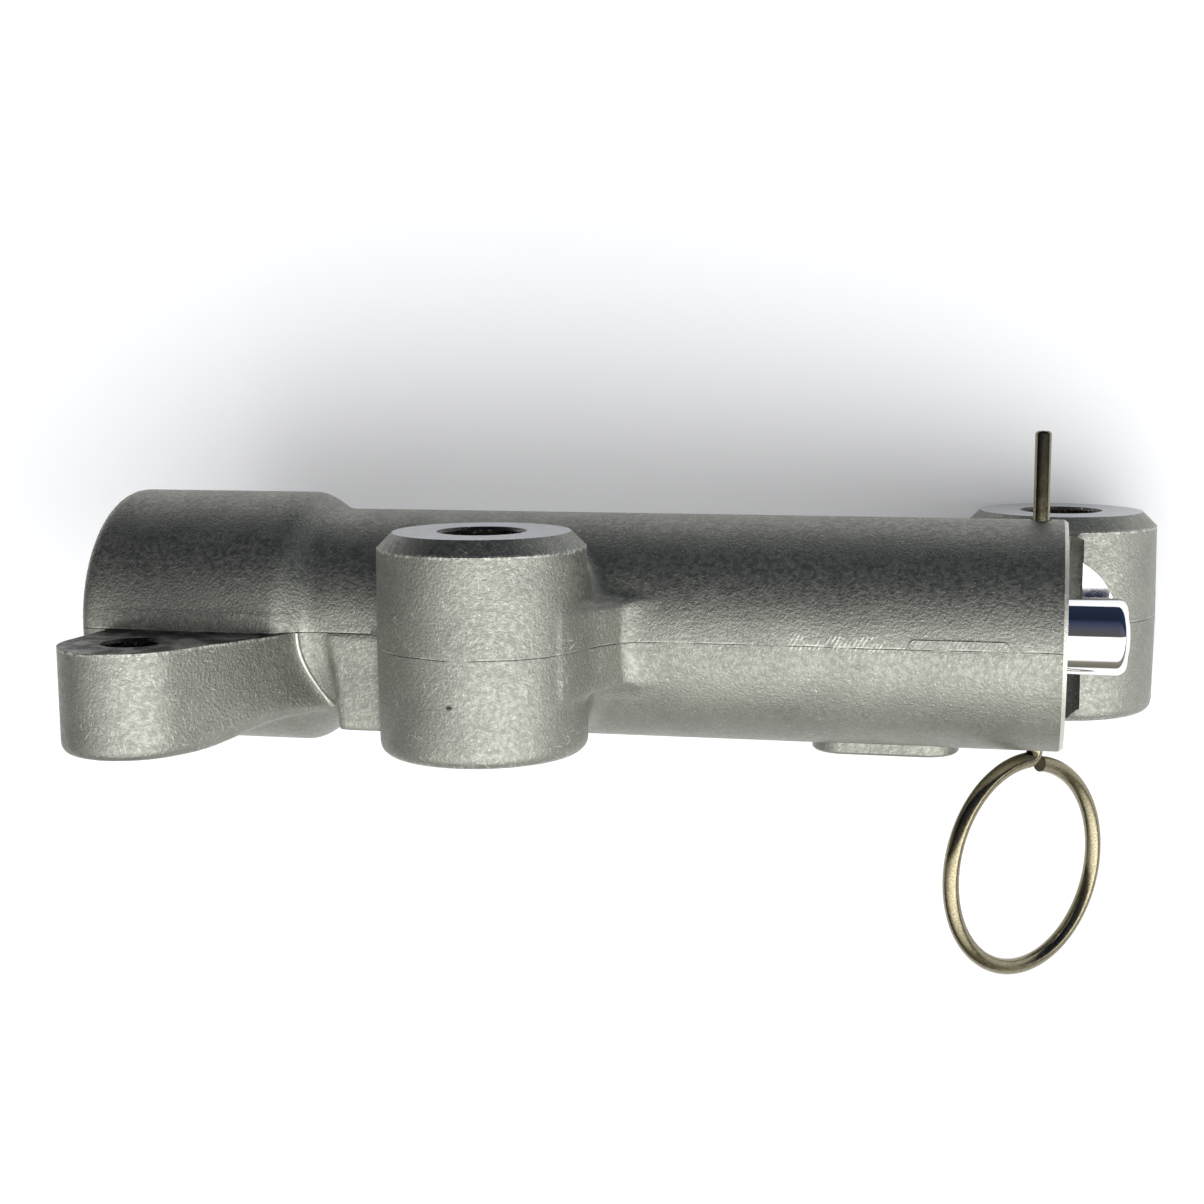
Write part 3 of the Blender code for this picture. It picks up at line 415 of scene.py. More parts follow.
def settle_on_surface(vertices, field, low):
    """Move vertices along the field's slope until they lie on its zero surface."""
    slopes = np.gradient(field, CELL)
    for _ in range(3):
        place = (vertices - np.array(low)) / CELL
        base = np.clip(np.floor(place).astype(int), 0, np.array(field.shape) - 2)
        part = place - base
        value = np.zeros(len(vertices))
        slope = np.zeros((len(vertices), 3))
        for i in (0, 1):
            for j in (0, 1):
                for k in (0, 1):
                    weight = np.abs(1 - np.array((i, j, k)) - part).prod(axis=1)
                    at = (base[:, 0] + i, base[:, 1] + j, base[:, 2] + k)
                    value += weight * field[at]
                    slope += weight[:, None] * np.stack([s[at] for s in slopes], axis=1)
        length = np.maximum((slope ** 2).sum(axis=1), 0.25)
        vertices = vertices - 0.8 * (value / length)[:, None] * slope
    return vertices


def closed_piece(name, vertices, faces):
    """A mesh whose faces all turn outwards."""
    piece = add_mesh(name, vertices, faces)
    shape = bmesh.new()
    shape.from_mesh(piece.data)
    bmesh.ops.recalc_face_normals(shape, faces=shape.faces)
    shape.to_mesh(piece.data)
    shape.free()
    return piece


def turned(name, profile, place, axis, segments):
    """A closed solid turned from (radius, distance along the axis) points."""
    turn = Vector((0.0, 0.0, 1.0)).rotation_difference(Vector(axis)).to_matrix().to_4x4()
    where = Matrix.Translation(place) @ turn
    vertices = []
    rows = []
    for radius, along in profile:
        if radius == 0.0:
            rows.append([len(vertices)])
            vertices.append(where @ Vector((0.0, 0.0, along)))
            continue
        rows.append(list(range(len(vertices), len(vertices) + segments)))
        for step in range(segments):
            angle = 2 * math.pi * step / segments
            vertices.append(where @ Vector((radius * math.cos(angle), radius * math.sin(angle), along)))
    faces = []
    for first, second in zip(rows, rows[1:]):
        for step in range(segments):
            after = (step + 1) % segments
            if len(first) == 1:
                faces.append((first[0], second[step], second[after]))
            elif len(second) == 1:
                faces.append((first[step], second[0], first[after]))
            else:
                faces.append((first[step], second[step], second[after], first[after]))
    return closed_piece(name, vertices, faces)


def turned_ring(name, profile, place, axis, segments):
    """A ring turned from a closed section of (radius, distance along the axis) points."""
    turn = Vector((0.0, 0.0, 1.0)).rotation_difference(Vector(axis)).to_matrix().to_4x4()
    where = Matrix.Translation(place) @ turn
    vertices = []
    for radius, along in profile:
        for step in range(segments):
            angle = 2 * math.pi * step / segments
            vertices.append(where @ Vector((radius * math.cos(angle), radius * math.sin(angle), along)))
    faces = []
    for row in range(len(profile)):
        following = (row + 1) % len(profile)
        for step in range(segments):
            after = (step + 1) % segments
            faces.append((row * segments + step, row * segments + after,
                          following * segments + after, following * segments + step))
    return closed_piece(name, vertices, faces)


def stadium(start, length, width, across, steps):
    """A slot-shaped outline along the station, as (station, across) points."""
    end_r = width / 2
    outline = arc((start + end_r, across), end_r, 0.5 * math.pi, 1.5 * math.pi, steps)
    return outline + arc((start + length - end_r, across), end_r, -0.5 * math.pi, 0.5 * math.pi, steps)


def stadium_slab(name, start, length, width, across, low, high, bevel, place):
    """A bar with round ends, its edge bevelled at the level called high."""
    levels = ((0.0, low), (0.0, high - bevel if high > low else high + bevel), (bevel, high))
    vertices = []
    for inset, level in levels:
        outline = stadium(start + inset, length - 2 * inset, width - 2 * inset, across, SLAB_END_STEPS)
        vertices += [place(station, side, level) for station, side in outline]
    count = len(vertices) // len(levels)
    faces = [tuple(range(count)), tuple(range(2 * count, 3 * count))]
    for row in (0, count):
        for step in range(count):
            after = (step + 1) % count
            faces.append((row + step, row + after, row + count + after, row + count + step))
    return closed_piece(name, vertices, faces)


def cut(piece, tool, surface=None, operation="DIFFERENCE"):
    """Cut a tool away from a piece, or join it, and give the new faces the tool's surface."""
    if not tool.data.materials:
        tool.data.materials.append(surface or MACHINED)
    step = piece.modifiers.new("cut", "BOOLEAN")
    step.object = tool
    step.operation = operation
    step.solver = "MANIFOLD"
    step.material_mode = "TRANSFER"
    bpy.context.view_layer.update()
    graph = bpy.context.evaluated_depsgraph_get()
    mesh = bpy.data.meshes.new_from_object(piece.evaluated_get(graph))
    piece.modifiers.clear()
    piece.data = mesh
    bpy.data.objects.remove(tool, do_unlink=True)


UP = (0.0, 1.0, 0.0)
BACK = (-1.0, 0.0, 0.0)
FAR = 0.004


def machine_boss(piece, station, depth):
    """Face the boss's top, chamfer its rim and drill its hole."""
    place = point(station, 0.0, depth)
    rim = BOSS_R - BOSS_DRAFT
    face = rim - BOSS_CHAMFER
    outside = BOSS_R + FAR / 4
    over = FAR / 8
    profile = [(0.0, BOSS_TOP), (outside, BOSS_TOP), (outside, BOSS_TOP + FAR), (0.0, BOSS_TOP + FAR)]
    cut(piece, turned("facing", profile, place, UP, BOSS_SIDES))
    profile = [(face - over, BOSS_TOP + over), (outside, BOSS_TOP - BOSS_CHAMFER - (outside - rim)),
               (outside, BOSS_TOP + over)]
    cut(piece, turned_ring("chamfer", profile, place, UP, BOSS_SIDES), CAST)
    bore = BOLT_HOLE_R
    flare = bore + HOLE_CHAMFER + FAR
    profile = [(0.0, BOSS_TOP + FAR), (flare, BOSS_TOP + FAR), (bore, BOSS_TOP - HOLE_CHAMFER),
               (bore, HOLE_CHAMFER - BOSS_BOTTOM), (flare, -BOSS_BOTTOM - FAR), (0.0, -BOSS_BOTTOM - FAR)]
    cut(piece, turned("drill", profile, place, UP, BOLT_HOLE_SIDES), SHADED_HOLE_WALLS)


def lug_top_tool():
    """All that lies in front of the barrel and above the parting plane."""
    low = point(LUG_STATION + 2 * LUG_R, 0.0, 0.0)
    high = point(LUG_STATION - 3 * LUG_R, BOSS_TOP, LUG_DEPTH + 2 * LUG_R)
    corners = [(x, y, z) for x in (low.x, high.x) for y in (low.y, high.y) for z in (low.z, high.z)]
    faces = [(0, 1, 3, 2), (4, 6, 7, 5), (0, 4, 5, 1), (2, 3, 7, 6), (0, 2, 6, 4), (1, 5, 7, 3)]
    tool = closed_piece("lug_top", corners, faces)
    skin = CELL / 20
    start = SHOULDER_START - BODY_LENGTH / 4
    profile = [(0.0, start), (TUBE_R + skin, start)]
    for step in range(17):
        station = SHOULDER_START + SHOULDER_LENGTH * step / 16
        profile.append((casting_radius(station) + skin, station))
    profile += [(BARREL_R + skin, BODY_LENGTH + FAR), (0.0, BODY_LENGTH + FAR)]
    cut(tool, turned("barrel_skin", profile, point(0.0), BACK, SKIN_SIDES))
    tool.data.materials.clear()
    return tool


def relief_tool():
    """The flat hollow milled into the rear boss behind the rod."""
    near = -FACING_SLOT / 2
    first = math.acos((RELIEF_STATION - near) / RELIEF_R)
    last = math.asin((RELIEF_LOW - RELIEF_LIFT) / RELIEF_R)
    sweep = arc((0.0, 0.0), RELIEF_R, first, last, 32)
    outline = [(RELIEF_STATION - u, RELIEF_LIFT + v) for u, v in sweep] + [(near, RELIEF_LOW)]
    floor = REAR_BOSS_DEPTH + BOSS_R - RELIEF_CUT
    vertices = [point(s, h, floor - RELIEF_TILT * (h - RELIEF_LEVEL)) for s, h in outline]
    vertices += [point(s, h, floor + 2 * RELIEF_CUT) for s, h in outline]
    count = len(outline)
    faces = [tuple(range(count)), tuple(range(count, 2 * count))]
    faces += [(i, (i + 1) % count, count + (i + 1) % count, count + i) for i in range(count)]
    return closed_piece("relief", vertices, faces)


def bore_tool():
    """The whole stepped bore with the grooves of its two rings."""
    seal = SEAL_BORE_R
    plug = PLUG_BORE_R
    over = -FACING_SLOT / 2
    out = BODY_LENGTH + FAR
    profile = [(0.0, over), (seal + MOUTH_CHAMFER, over), (seal + MOUTH_CHAMFER, 0.0), (seal, MOUTH_CHAMFER)]
    start, end, deep = SNAP_GROOVE
    profile += [(seal, start), (deep, start), (deep, end), (seal, end), (seal, SEAL_FLOOR),
                (ROD_BORE_R, SEAL_FLOOR), (ROD_BORE_R, BUSH_START), (BUSH_BORE_R, BUSH_START),
                (BUSH_BORE_R, BORE_START), (BORE_R, BORE_START), (BORE_R, PLUG_START), (plug, PLUG_START)]
    start, end, deep = CIRCLIP_GROOVE
    profile += [(plug, start), (deep, start), (deep, end), (plug, end), (plug, BODY_LENGTH - MOUTH_CHAMFER),
                (plug + MOUTH_CHAMFER, BODY_LENGTH), (plug + MOUTH_CHAMFER, out), (0.0, out)]
    return turned("bore", profile, point(0.0), BACK, BORE_SIDES)


def add_bead(piece):
    """The raised line where the lug's web meets the tube."""
    lean = math.tan(LUG_WEB_LEAN)
    web_end = lug_web_outline()[-2][0]
    path = []
    for step in range(BEAD_STEPS + 1):
        height = -BEAD_DROP * step / BEAD_STEPS
        depth = TUBE_R
        for _ in range(8):
            station = web_end + lean * depth
            depth = math.sqrt(casting_radius(station) ** 2 - height ** 2)
        path.append(point(station - BEAD_R, height, depth + BEAD_R / 4))
    radii = [BEAD_R] * (len(path) - len(BEAD_SWELLS)) + [BEAD_R * swell for swell in BEAD_SWELLS]
    # The bead's bright worn surface is a painted highlight along the foot of the lug's web.
    cut(piece, swept_wire("web_bead", path, radii, 12), WORN_AND_SHEEN, "UNION")


def machine_casting(piece):
    """Face, bore and drill the casting where the real one is machined."""
    machine_boss(piece, CENTRE_BOSS_STATION, CENTRE_BOSS_DEPTH)
    machine_boss(piece, REAR_BOSS_STATION, REAR_BOSS_DEPTH)
    cut(piece, lug_top_tool(), CAST)
    bore = LUG_HOLE_R
    flare = bore + HOLE_CHAMFER + FAR
    profile = [(0.0, FAR), (flare, FAR), (bore, -HOLE_CHAMFER), (bore, HOLE_CHAMFER - LUG_HEIGHT),
               (flare, -LUG_HEIGHT - FAR), (0.0, -LUG_HEIGHT - FAR)]
    cut(piece, turned("lug_drill", profile, point(LUG_STATION, 0.0, LUG_DEPTH), UP, LUG_HOLE_SIDES), SHADED_HOLE_WALLS)
    profile = [(0.0, -FACING_SLOT), (FACING_R, -FACING_SLOT), (FACING_R, 0.0), (0.0, 0.0)]
    slot = turned("facing_slot", profile, point(0.0), BACK, MOUTH_SIDES)
    slot.data.materials.append(CAST)
    slot.data.materials.append(MACHINED)
    for face in slot.data.polygons:
        face.material_index = int(abs(face.normal.x) > 0.5)
    cut(piece, slot)
    cut(piece, relief_tool(), MILLED)
    cut(piece, bore_tool(), SHADED_HOLE_WALLS)
    reach = TUBE_R + FAR
    profile = [(0.0, reach), (PIN_HOLE_R, reach), (PIN_HOLE_R, -reach), (0.0, -reach)]
    cut(piece, turned("pin_drill", profile, point(PIN_STATION), UP, PIN_HOLE_SIDES), SHADED_HOLE_WALLS)
    rim = TUBE_R - RIM_DEPTH
    outside = TUBE_R + RIM_DEPTH / 4
    before = -FACING_SLOT / 4
    profile = [(rim, before), (rim, 0.0), (outside, RIM_WIDTH * 1.25), (outside, before)]
    cut(piece, turned_ring("rim", profile, point(0.0), BACK, MOUTH_SIDES), WORN_AND_SHEEN)


def add_pads(piece):
    """The rib under the tube and the small pad on its front."""
    def under(station, depth, height):
        return point(station, height, depth)

    rib = stadium_slab("rib", RIB_START, RIB_LENGTH, RIB_WIDTH, 0.0, -TUBE_R + RIB_WIDTH / 4,
                       -TUBE_R - RIB_PROUD, RIB_BEVEL, under)
    cut(piece, rib, CAST, "UNION")
    pad = stadium_slab("pad", PAD_START, PAD_LENGTH, PAD_WIDTH, PAD_WIDTH / 2 - PAD_ABOVE_SEAM,
                       TUBE_R - PAD_WIDTH / 3, TUBE_R + PAD_PROUD, PAD_BEVEL, point)
    cut(piece, pad, CAST, "UNION")


def build_housing():
    """The casting, sculpted on the grid, then machined."""
    grid = Grid()
    field = sculpt_casting(grid)
    vertices, quads = surface_of(field, grid.low)
    vertices = settle_on_surface(vertices, field, grid.low)
    piece = add_mesh("housing_casting", vertices.tolist(), quads.tolist())
    piece.data.materials.append(CAST)
    add_pads(piece)
    add_bead(piece)
    machine_casting(piece)
    return piece


def build_rod():
    """The rod, its domed tip, its collar and the pin's hole."""
    tip = -ROD_REACH
    profile = [(0.0, tip)]
    land = ROD_R - ROD_EDGE_R
    for step in range(1, ROD_DOME_STEPS + 1):
        share = step / ROD_DOME_STEPS
        profile.append((land * share, tip + ROD_DOME * share ** 2))
    edge = arc((land, tip + ROD_DOME + ROD_EDGE_R), ROD_EDGE_R, -math.pi / 2, 0.0, 12)
    profile += edge[1:]
    profile += [(ROD_R, COLLAR_START), (COLLAR_R - ROD_CHAMFER, COLLAR_START),
                (COLLAR_R, COLLAR_START + ROD_CHAMFER), (COLLAR_R, RING_SEAT_START),
                (RING_SEAT_R, RING_SEAT_START), (RING_SEAT_R, SPIGOT_START), (ROD_R, SPIGOT_START),
                (ROD_R, ROD_END - ROD_CHAMFER), (ROD_R - ROD_CHAMFER, ROD_END), (0.0, ROD_END)]
    piece = turned("push_rod_bar", profile, point(0.0), BACK, ROD_SIDES)
    piece.data.materials.append(ROD_CHROME)
    hole = [(0.0, 2 * ROD_R), (ROD_HOLE_R, 2 * ROD_R), (ROD_HOLE_R, -2 * ROD_R), (0.0, -2 * ROD_R)]
    cut(piece, turned("rod_hole", hole, point(ROD_HOLE_STATION), UP, ROD_HOLE_SIDES), ROD_CHROME)
    return piece


def swept_wire(name, path, radii, sides):
    """A round wire along a path, with a radius for each of its points and flat ends."""
    points = [Vector(place) for place in path]
    ahead = [(after - before).normalized() for before, after in zip(points, points[1:])]
    tangents = [ahead[0]] + [(a + b).normalized() for a, b in zip(ahead, ahead[1:])] + [ahead[-1]]
    side = tangents[0].orthogonal().normalized()
    vertices = []
    for centre, tangent, radius in zip(points, tangents, radii):
        side = (side - tangent * side.dot(tangent)).normalized()
        other = tangent.cross(side)
        for step in range(sides):
            angle = 2 * math.pi * step / sides
            vertices.append(centre + radius * (math.cos(angle) * side + math.sin(angle) * other))
    faces = [tuple(range(sides)), tuple(range(len(vertices) - sides, len(vertices)))]
    for row in range(len(points) - 1):
        for step in range(sides):
            after = (step + 1) % sides
            first = row * sides
            faces.append((first + step, first + after, first + sides + after, first + sides + step))
    return closed_piece(name, vertices, faces)


def build_pull_pin():
    """The straight leg with its chamfered tip, bent at the bottom into the finger ring."""
    leg_end = -(TUBE_R + PIN_BEND_DROP)
    ring_top = -leg_end + PIN_BEND_R
    drop = ring_top + RING_R + RING_SPIRAL / 2
    along = [(0.0, PIN_TIP), (0.0, PIN_TIP - PIN_TIP_CHAMFER / 2), (0.0, PIN_TIP - PIN_TIP_CHAMFER)]
    radii = [PIN_WIRE_R - PIN_TIP_CHAMFER, PIN_WIRE_R - PIN_TIP_CHAMFER / 4, PIN_WIRE_R]
    along.append((0.0, 0.0))
    along += arc((-PIN_BEND_R, leg_end), PIN_BEND_R, 0.0, -math.pi / 2, 14)
    first = math.pi / 2
    for step in range(1, RING_STEPS + 1):
        share = step / RING_STEPS
        angle = first + (RING_END_ANGLE - first) * share
        radius = RING_R + RING_SPIRAL * (0.5 - share)
        along.append((-PIN_BEND_R + radius * math.cos(angle), -drop + radius * math.sin(angle)))
    radii += [PIN_WIRE_R] * (len(along) - len(radii))
    centre = point(PIN_STATION)
    path = [centre + Vector((u * math.cos(RING_TURN), v, -u * math.sin(RING_TURN))) for u, v in along]
    piece = swept_wire("pull_pin_wire", path, radii, WIRE_SIDES)
    piece.data.materials.append(PIN_PLATING)
    return piece


class Look:
    """A node material under construction."""

    def __init__(self, name, colour, roughness, metallic=1.0):
        self.surface = bpy.data.materials.new(name)
        self.surface.use_nodes = True
        self.nodes = self.surface.node_tree.nodes
        self.links = self.surface.node_tree.links
        self.shader = self.nodes["Principled BSDF"]
        self.shader.inputs["Base Color"].default_value = (*colour, 1.0)
        self.shader.inputs["Roughness"].default_value = roughness
        self.shader.inputs["Metallic"].default_value = metallic
        self.place = self.nodes.new("ShaderNodeTexCoord").outputs["Object"]

    def math(self, operation, a, b=0.0):
        node = self.nodes.new("ShaderNodeMath")
        node.operation = operation
        for socket, value in zip(node.inputs, (a, b)):
            if isinstance(value, (int, float)):
                socket.default_value = value
            else:
                self.links.new(value, socket)
        return node.outputs["Value"]

    def times(self, a, b):
        return self.math("MULTIPLY", a, b)

    def most(self, a, b):
        return self.math("MAXIMUM", a, b)

    def less(self, a, b):
        return self.math("SUBTRACT", a, b)

    def moved(self, scale, turn):
        """The object's coordinates, turned and then stretched."""
        rotate = self.nodes.new("ShaderNodeVectorRotate")
        rotate.rotation_type = "EULER_XYZ"
        rotate.inputs["Rotation"].default_value = turn
        self.links.new(self.place, rotate.inputs["Vector"])
        stretch = self.nodes.new("ShaderNodeVectorMath")
        stretch.operation = "MULTIPLY"
        stretch.inputs[1].default_value = scale
        self.links.new(rotate.outputs["Vector"], stretch.inputs[0])
        return stretch.outputs["Vector"]

    def noise(self, scale, detail=2.0, vector=None, rough=0.5):
        node = self.nodes.new("ShaderNodeTexNoise")
        node.inputs["Scale"].default_value = scale
        node.inputs["Detail"].default_value = detail
        node.inputs["Roughness"].default_value = rough
        self.links.new(vector or self.place, node.inputs["Vector"])
        return node.outputs["Fac"]

    def ramp(self, value, low, high, to_low=0.0, to_high=1.0):
        node = self.nodes.new("ShaderNodeMapRange")
        node.interpolation_type = "SMOOTHSTEP"
        node.inputs["From Min"].default_value = low
        node.inputs["From Max"].default_value = high
        node.inputs["To Min"].default_value = to_low
        node.inputs["To Max"].default_value = to_high
        self.links.new(value, node.inputs["Value"])
        return node.outputs["Result"]

    def blend(self, share, first, second):
        """A colour between two, each a socket or an (r, g, b) value."""
        node = self.nodes.new("ShaderNodeMix")
        node.data_type = "RGBA"
        self.links.new(share, node.inputs["Factor"])
        for socket, value in ((node.inputs["A"], first), (node.inputs["B"], second)):
            if isinstance(value, tuple):
                socket.default_value = (*value, 1.0)
            else:
                self.links.new(value, socket)
        return node.outputs["Result"]

    def bump(self, height, distance, normal=None):
        node = self.nodes.new("ShaderNodeBump")
        node.inputs["Strength"].default_value = 1.0
        node.inputs["Distance"].default_value = distance
        self.links.new(height, node.inputs["Height"])
        if normal is not None:
            self.links.new(normal, node.inputs["Normal"])
        return node.outputs["Normal"]

    def band(self, value, low, high, soft):
        """One between two values, falling to nothing over a soft edge on each side."""
        return self.times(self.ramp(value, low - soft, low), self.ramp(value, high, high + soft, 1.0, 0.0))

    def vector(self, operation, a, b):
        node = self.nodes.new("ShaderNodeVectorMath")
        node.operation = operation
        for socket, value in zip(node.inputs, (a, b)):
            if isinstance(value, Vector):
                socket.default_value = value
            else:
                self.links.new(value, socket)
        return node

    def waving(self, scale, reach):
        """The object's coordinates, shifted a little by noise."""
        wave = self.nodes.new("ShaderNodeTexNoise")
        wave.inputs["Scale"].default_value = scale
        self.links.new(self.place, wave.inputs["Vector"])
        shift = self.vector("MULTIPLY", wave.outputs["Color"], Vector((reach, reach, reach)))
        return self.vector("ADD", shift.outputs["Vector"], self.place).outputs["Vector"]

    def segment(self, place, start, end, width):
        """One along a straight line between two places, nothing beyond its width."""
        along = end - start
        offset = self.vector("SUBTRACT", place, start).outputs["Vector"]
        share = self.vector("DOT_PRODUCT", offset, along / along.length_squared).outputs["Value"]
        share = self.math("MINIMUM", self.most(share, 0.0), 1.0)
        foot = self.nodes.new("ShaderNodeVectorMath")
        foot.operation = "SCALE"
        foot.inputs[0].default_value = along
        self.links.new(share, foot.inputs["Scale"])
        away = self.vector("DISTANCE", offset, foot.outputs["Vector"]).outputs["Value"]
        return self.ramp(away, width * 0.3, width, 1.0, 0.0)

    def axes(self):
        node = self.nodes.new("ShaderNodeSeparateXYZ")
        self.links.new(self.place, node.inputs["Vector"])
        return node.outputs["X"], node.outputs["Y"], node.outputs["Z"]

    def use(self, socket, value):
        self.links.new(value, self.shader.inputs[socket])


def on_drum(turn, height, station, depth, radius):
    """A place on an upright cylinder, by its turn from +Z towards +X."""
    angle = math.radians(turn)
    return point(station - radius * math.sin(angle), height, depth + radius * math.cos(angle))


def scratch_places():
    """The ends of the casting's plain scratches."""
    for first, last in TUBE_SCRATCHES:
        yield [point(s, h, math.sqrt(TUBE_R ** 2 - h ** 2)) for s, h in (first, last)]
    for first, last in BARREL_SCRATCHES:
        yield [point(s, h, math.sqrt(BARREL_R ** 2 - h ** 2)) for s, h in (first, last)]
    for first, last in BOSS_SCRATCHES:
        yield [on_drum(t, h, CENTRE_BOSS_STATION, CENTRE_BOSS_DEPTH, BOSS_R) for t, h in (first, last)]
    for first, last in LUG_SCRATCHES:
        yield [on_drum(t, h, LUG_STATION, LUG_DEPTH, LUG_R) for t, h in (first, last)]


TUBE_SCRATCHES = (
    ((0.0490, -0.0064), (0.0424, -0.0021)),
    ((0.0300, -0.0020), (0.0293, -0.0029)),
    ((0.0308, -0.0046), (0.0303, -0.0056)),
    ((0.0205, -0.0010), (0.0202, -0.0020)),
)
BARREL_SCRATCHES = (
    ((0.1158, 0.0166), (0.1101, 0.0157)),
    ((0.1101, 0.0157), (0.1025, 0.0163)),
    ((0.1029, 0.0160), (0.1023, 0.0154)),
)
BOSS_SCRATCHES = (
    ((15.2, 0.0119), (15.0, 0.0077)),
    ((-0.3, -0.0008), (-2.6, -0.0022)),
    ((7.7, 0.0074), (12.7, 0.0050)),
    ((10.0, 0.0052), (17.0, 0.0066)),
    ((22.7, -0.0050), (33.3, -0.0049)),
    ((9.0, -0.0006), (18.0, -0.0004)),
    ((28.0, 0.0012), (25.0, -0.0006)),
)
LUG_SCRATCHES = (
    ((11.1, -0.0021), (10.5, -0.0041)),
    ((8.6, -0.0022), (8.9, -0.0040)),
    ((44.0, -0.0083), (50.0, -0.0088)),
)
SCRATCH_WIDTH = 0.00016
SCRATCH_WAVE = (700.0, 0.0004)

# The row of slanted strokes beside the parting line.
HATCH_START = 0.0223
HATCH_END = 0.0336
HATCH_LOW = -0.0002
HATCH_HIGH = 0.0013
HATCH_PITCH = 0.00057
HATCH_LEAN = 0.58
HATCH_SOFT = (0.0008, 0.0003)
PAD_HATCH_LOW = -0.0001
PAD_HATCH_SOFT = (0.0005, 0.0002)
PAD_HATCH_SHARE = 0.3

# The cast skin: its shades, its streaks by turn and length, and where edges wear.
CAST_DARK = (0.262, 0.267, 0.240)
CAST_LIGHT = (0.300, 0.305, 0.272)
FLECK_SHADE = (0.46, 0.46, 0.42)
MARK_SHADE = (0.66, 0.66, 0.61)
GLINT_SHADE = (0.60, 0.60, 0.55)
SEAM_SHADE = (0.05, 0.05, 0.045)
STREAKS = ((0.5, 520.0), (-0.9, 620.0), (1.35, 560.0))
STREAK_PITCH = 7500.0
STREAK_DEPTH = (0.015, 0.019)
WORN_REACH = 0.0002
WORN_LOW = -0.0003
WORN_HIGH = -0.0001
WORN_X = (MOUTH_X - 0.1010, MOUTH_X - 0.0995)
WORN_DEPTH = (0.0172, 0.0180)
BOSS_ZONE = (0.0138, 0.0142)
CENTRE_BOSS_FRONT = (0.0150, 0.0160)
REAR_BOSS_FRONT = (-0.0100, -0.0092)
PIT_TURNS = (-1.8, -0.6)
PIT_HEIGHT = -0.0055
PIT_WIDTH = 0.0004
SEAM_WANDER = 0.0005
SEAM_LINE = (0.00003, 0.00009)
GLINT_LIFT = 0.00016
GLINT_LINE = (0.00003, 0.0001)


def hatch(look, x, height):
    """Slanted strokes in a row beside the parting line, and fainter ones on the pad."""
    along = look.less(x, look.times(height, HATCH_LEAN))
    waves = look.math("SINE", look.times(along, 2 * math.pi / HATCH_PITCH))
    strokes = look.ramp(waves, 0.1, 0.8)
    row = look.times(look.band(x, MOUTH_X - HATCH_END, MOUTH_X - HATCH_START, HATCH_SOFT[0]),
                     look.band(height, HATCH_LOW, HATCH_HIGH, HATCH_SOFT[1]))
    pad_top = PAD_WIDTH - PAD_ABOVE_SEAM + PAD_HATCH_LOW
    pad = look.times(look.band(x, MOUTH_X - PAD_START - PAD_LENGTH, MOUTH_X - PAD_START, PAD_HATCH_SOFT[0]),
                     look.band(height, PAD_HATCH_LOW, pad_top, PAD_HATCH_SOFT[1]))
    row = look.most(row, look.times(pad, PAD_HATCH_SHARE))
    return look.times(look.times(strokes, row), look.ramp(look.noise(1100.0, 2.0), 0.40, 0.60))


def streaks(look, depth):
    """Fine random scuffs on the forms that stand furthest forward."""
    marks = None
    for turn, length in STREAKS:
        scuffs = look.noise(1.0, 0.0, look.moved((length, STREAK_PITCH, length), (0.0, 0.0, turn)), 0.4)
        scuffs = look.ramp(scuffs, 0.75, 0.83)
        marks = scuffs if marks is None else look.most(marks, scuffs)
    patches = look.ramp(look.noise(260.0, 1.0), 0.42, 0.66, 0.05, 0.62)
    return look.times(marks, look.times(patches, look.ramp(depth, *STREAK_DEPTH, 0.15, 1.0)))


def worn_edges(look, x, height, depth):
    """Rubbed rims of the lug's top and of both bosses."""
    from_centre = look.math("ABSOLUTE", look.less(x, MOUTH_X - CENTRE_BOSS_STATION))
    centre = look.times(look.ramp(from_centre, *BOSS_ZONE, 1.0, 0.0), look.ramp(depth, *CENTRE_BOSS_FRONT))
    bosses = look.most(centre, look.ramp(depth, *REAR_BOSS_FRONT, 1.0, 0.0))
    lug = look.band(height, WORN_LOW, WORN_HIGH, WORN_REACH)
    lug = look.times(lug, look.ramp(x, *WORN_X, 1.0, 0.0))
    lug = look.times(lug, look.ramp(depth, *WORN_DEPTH))
    crown = BOSS_TOP - BOSS_CHAMFER
    top = look.times(look.band(height, crown - 0.0002, crown + 0.00005, WORN_REACH), bosses)
    bottom = look.times(look.band(height, -BOSS_BOTTOM, -BOSS_BOTTOM + 0.0005, WORN_REACH), bosses)
    edges = look.most(look.most(lug, top), look.times(bottom, 0.5))
    edges = look.times(edges, look.ramp(look.noise(2200.0, 2.0), 0.44, 0.62))
    return look.times(edges, 0.6)


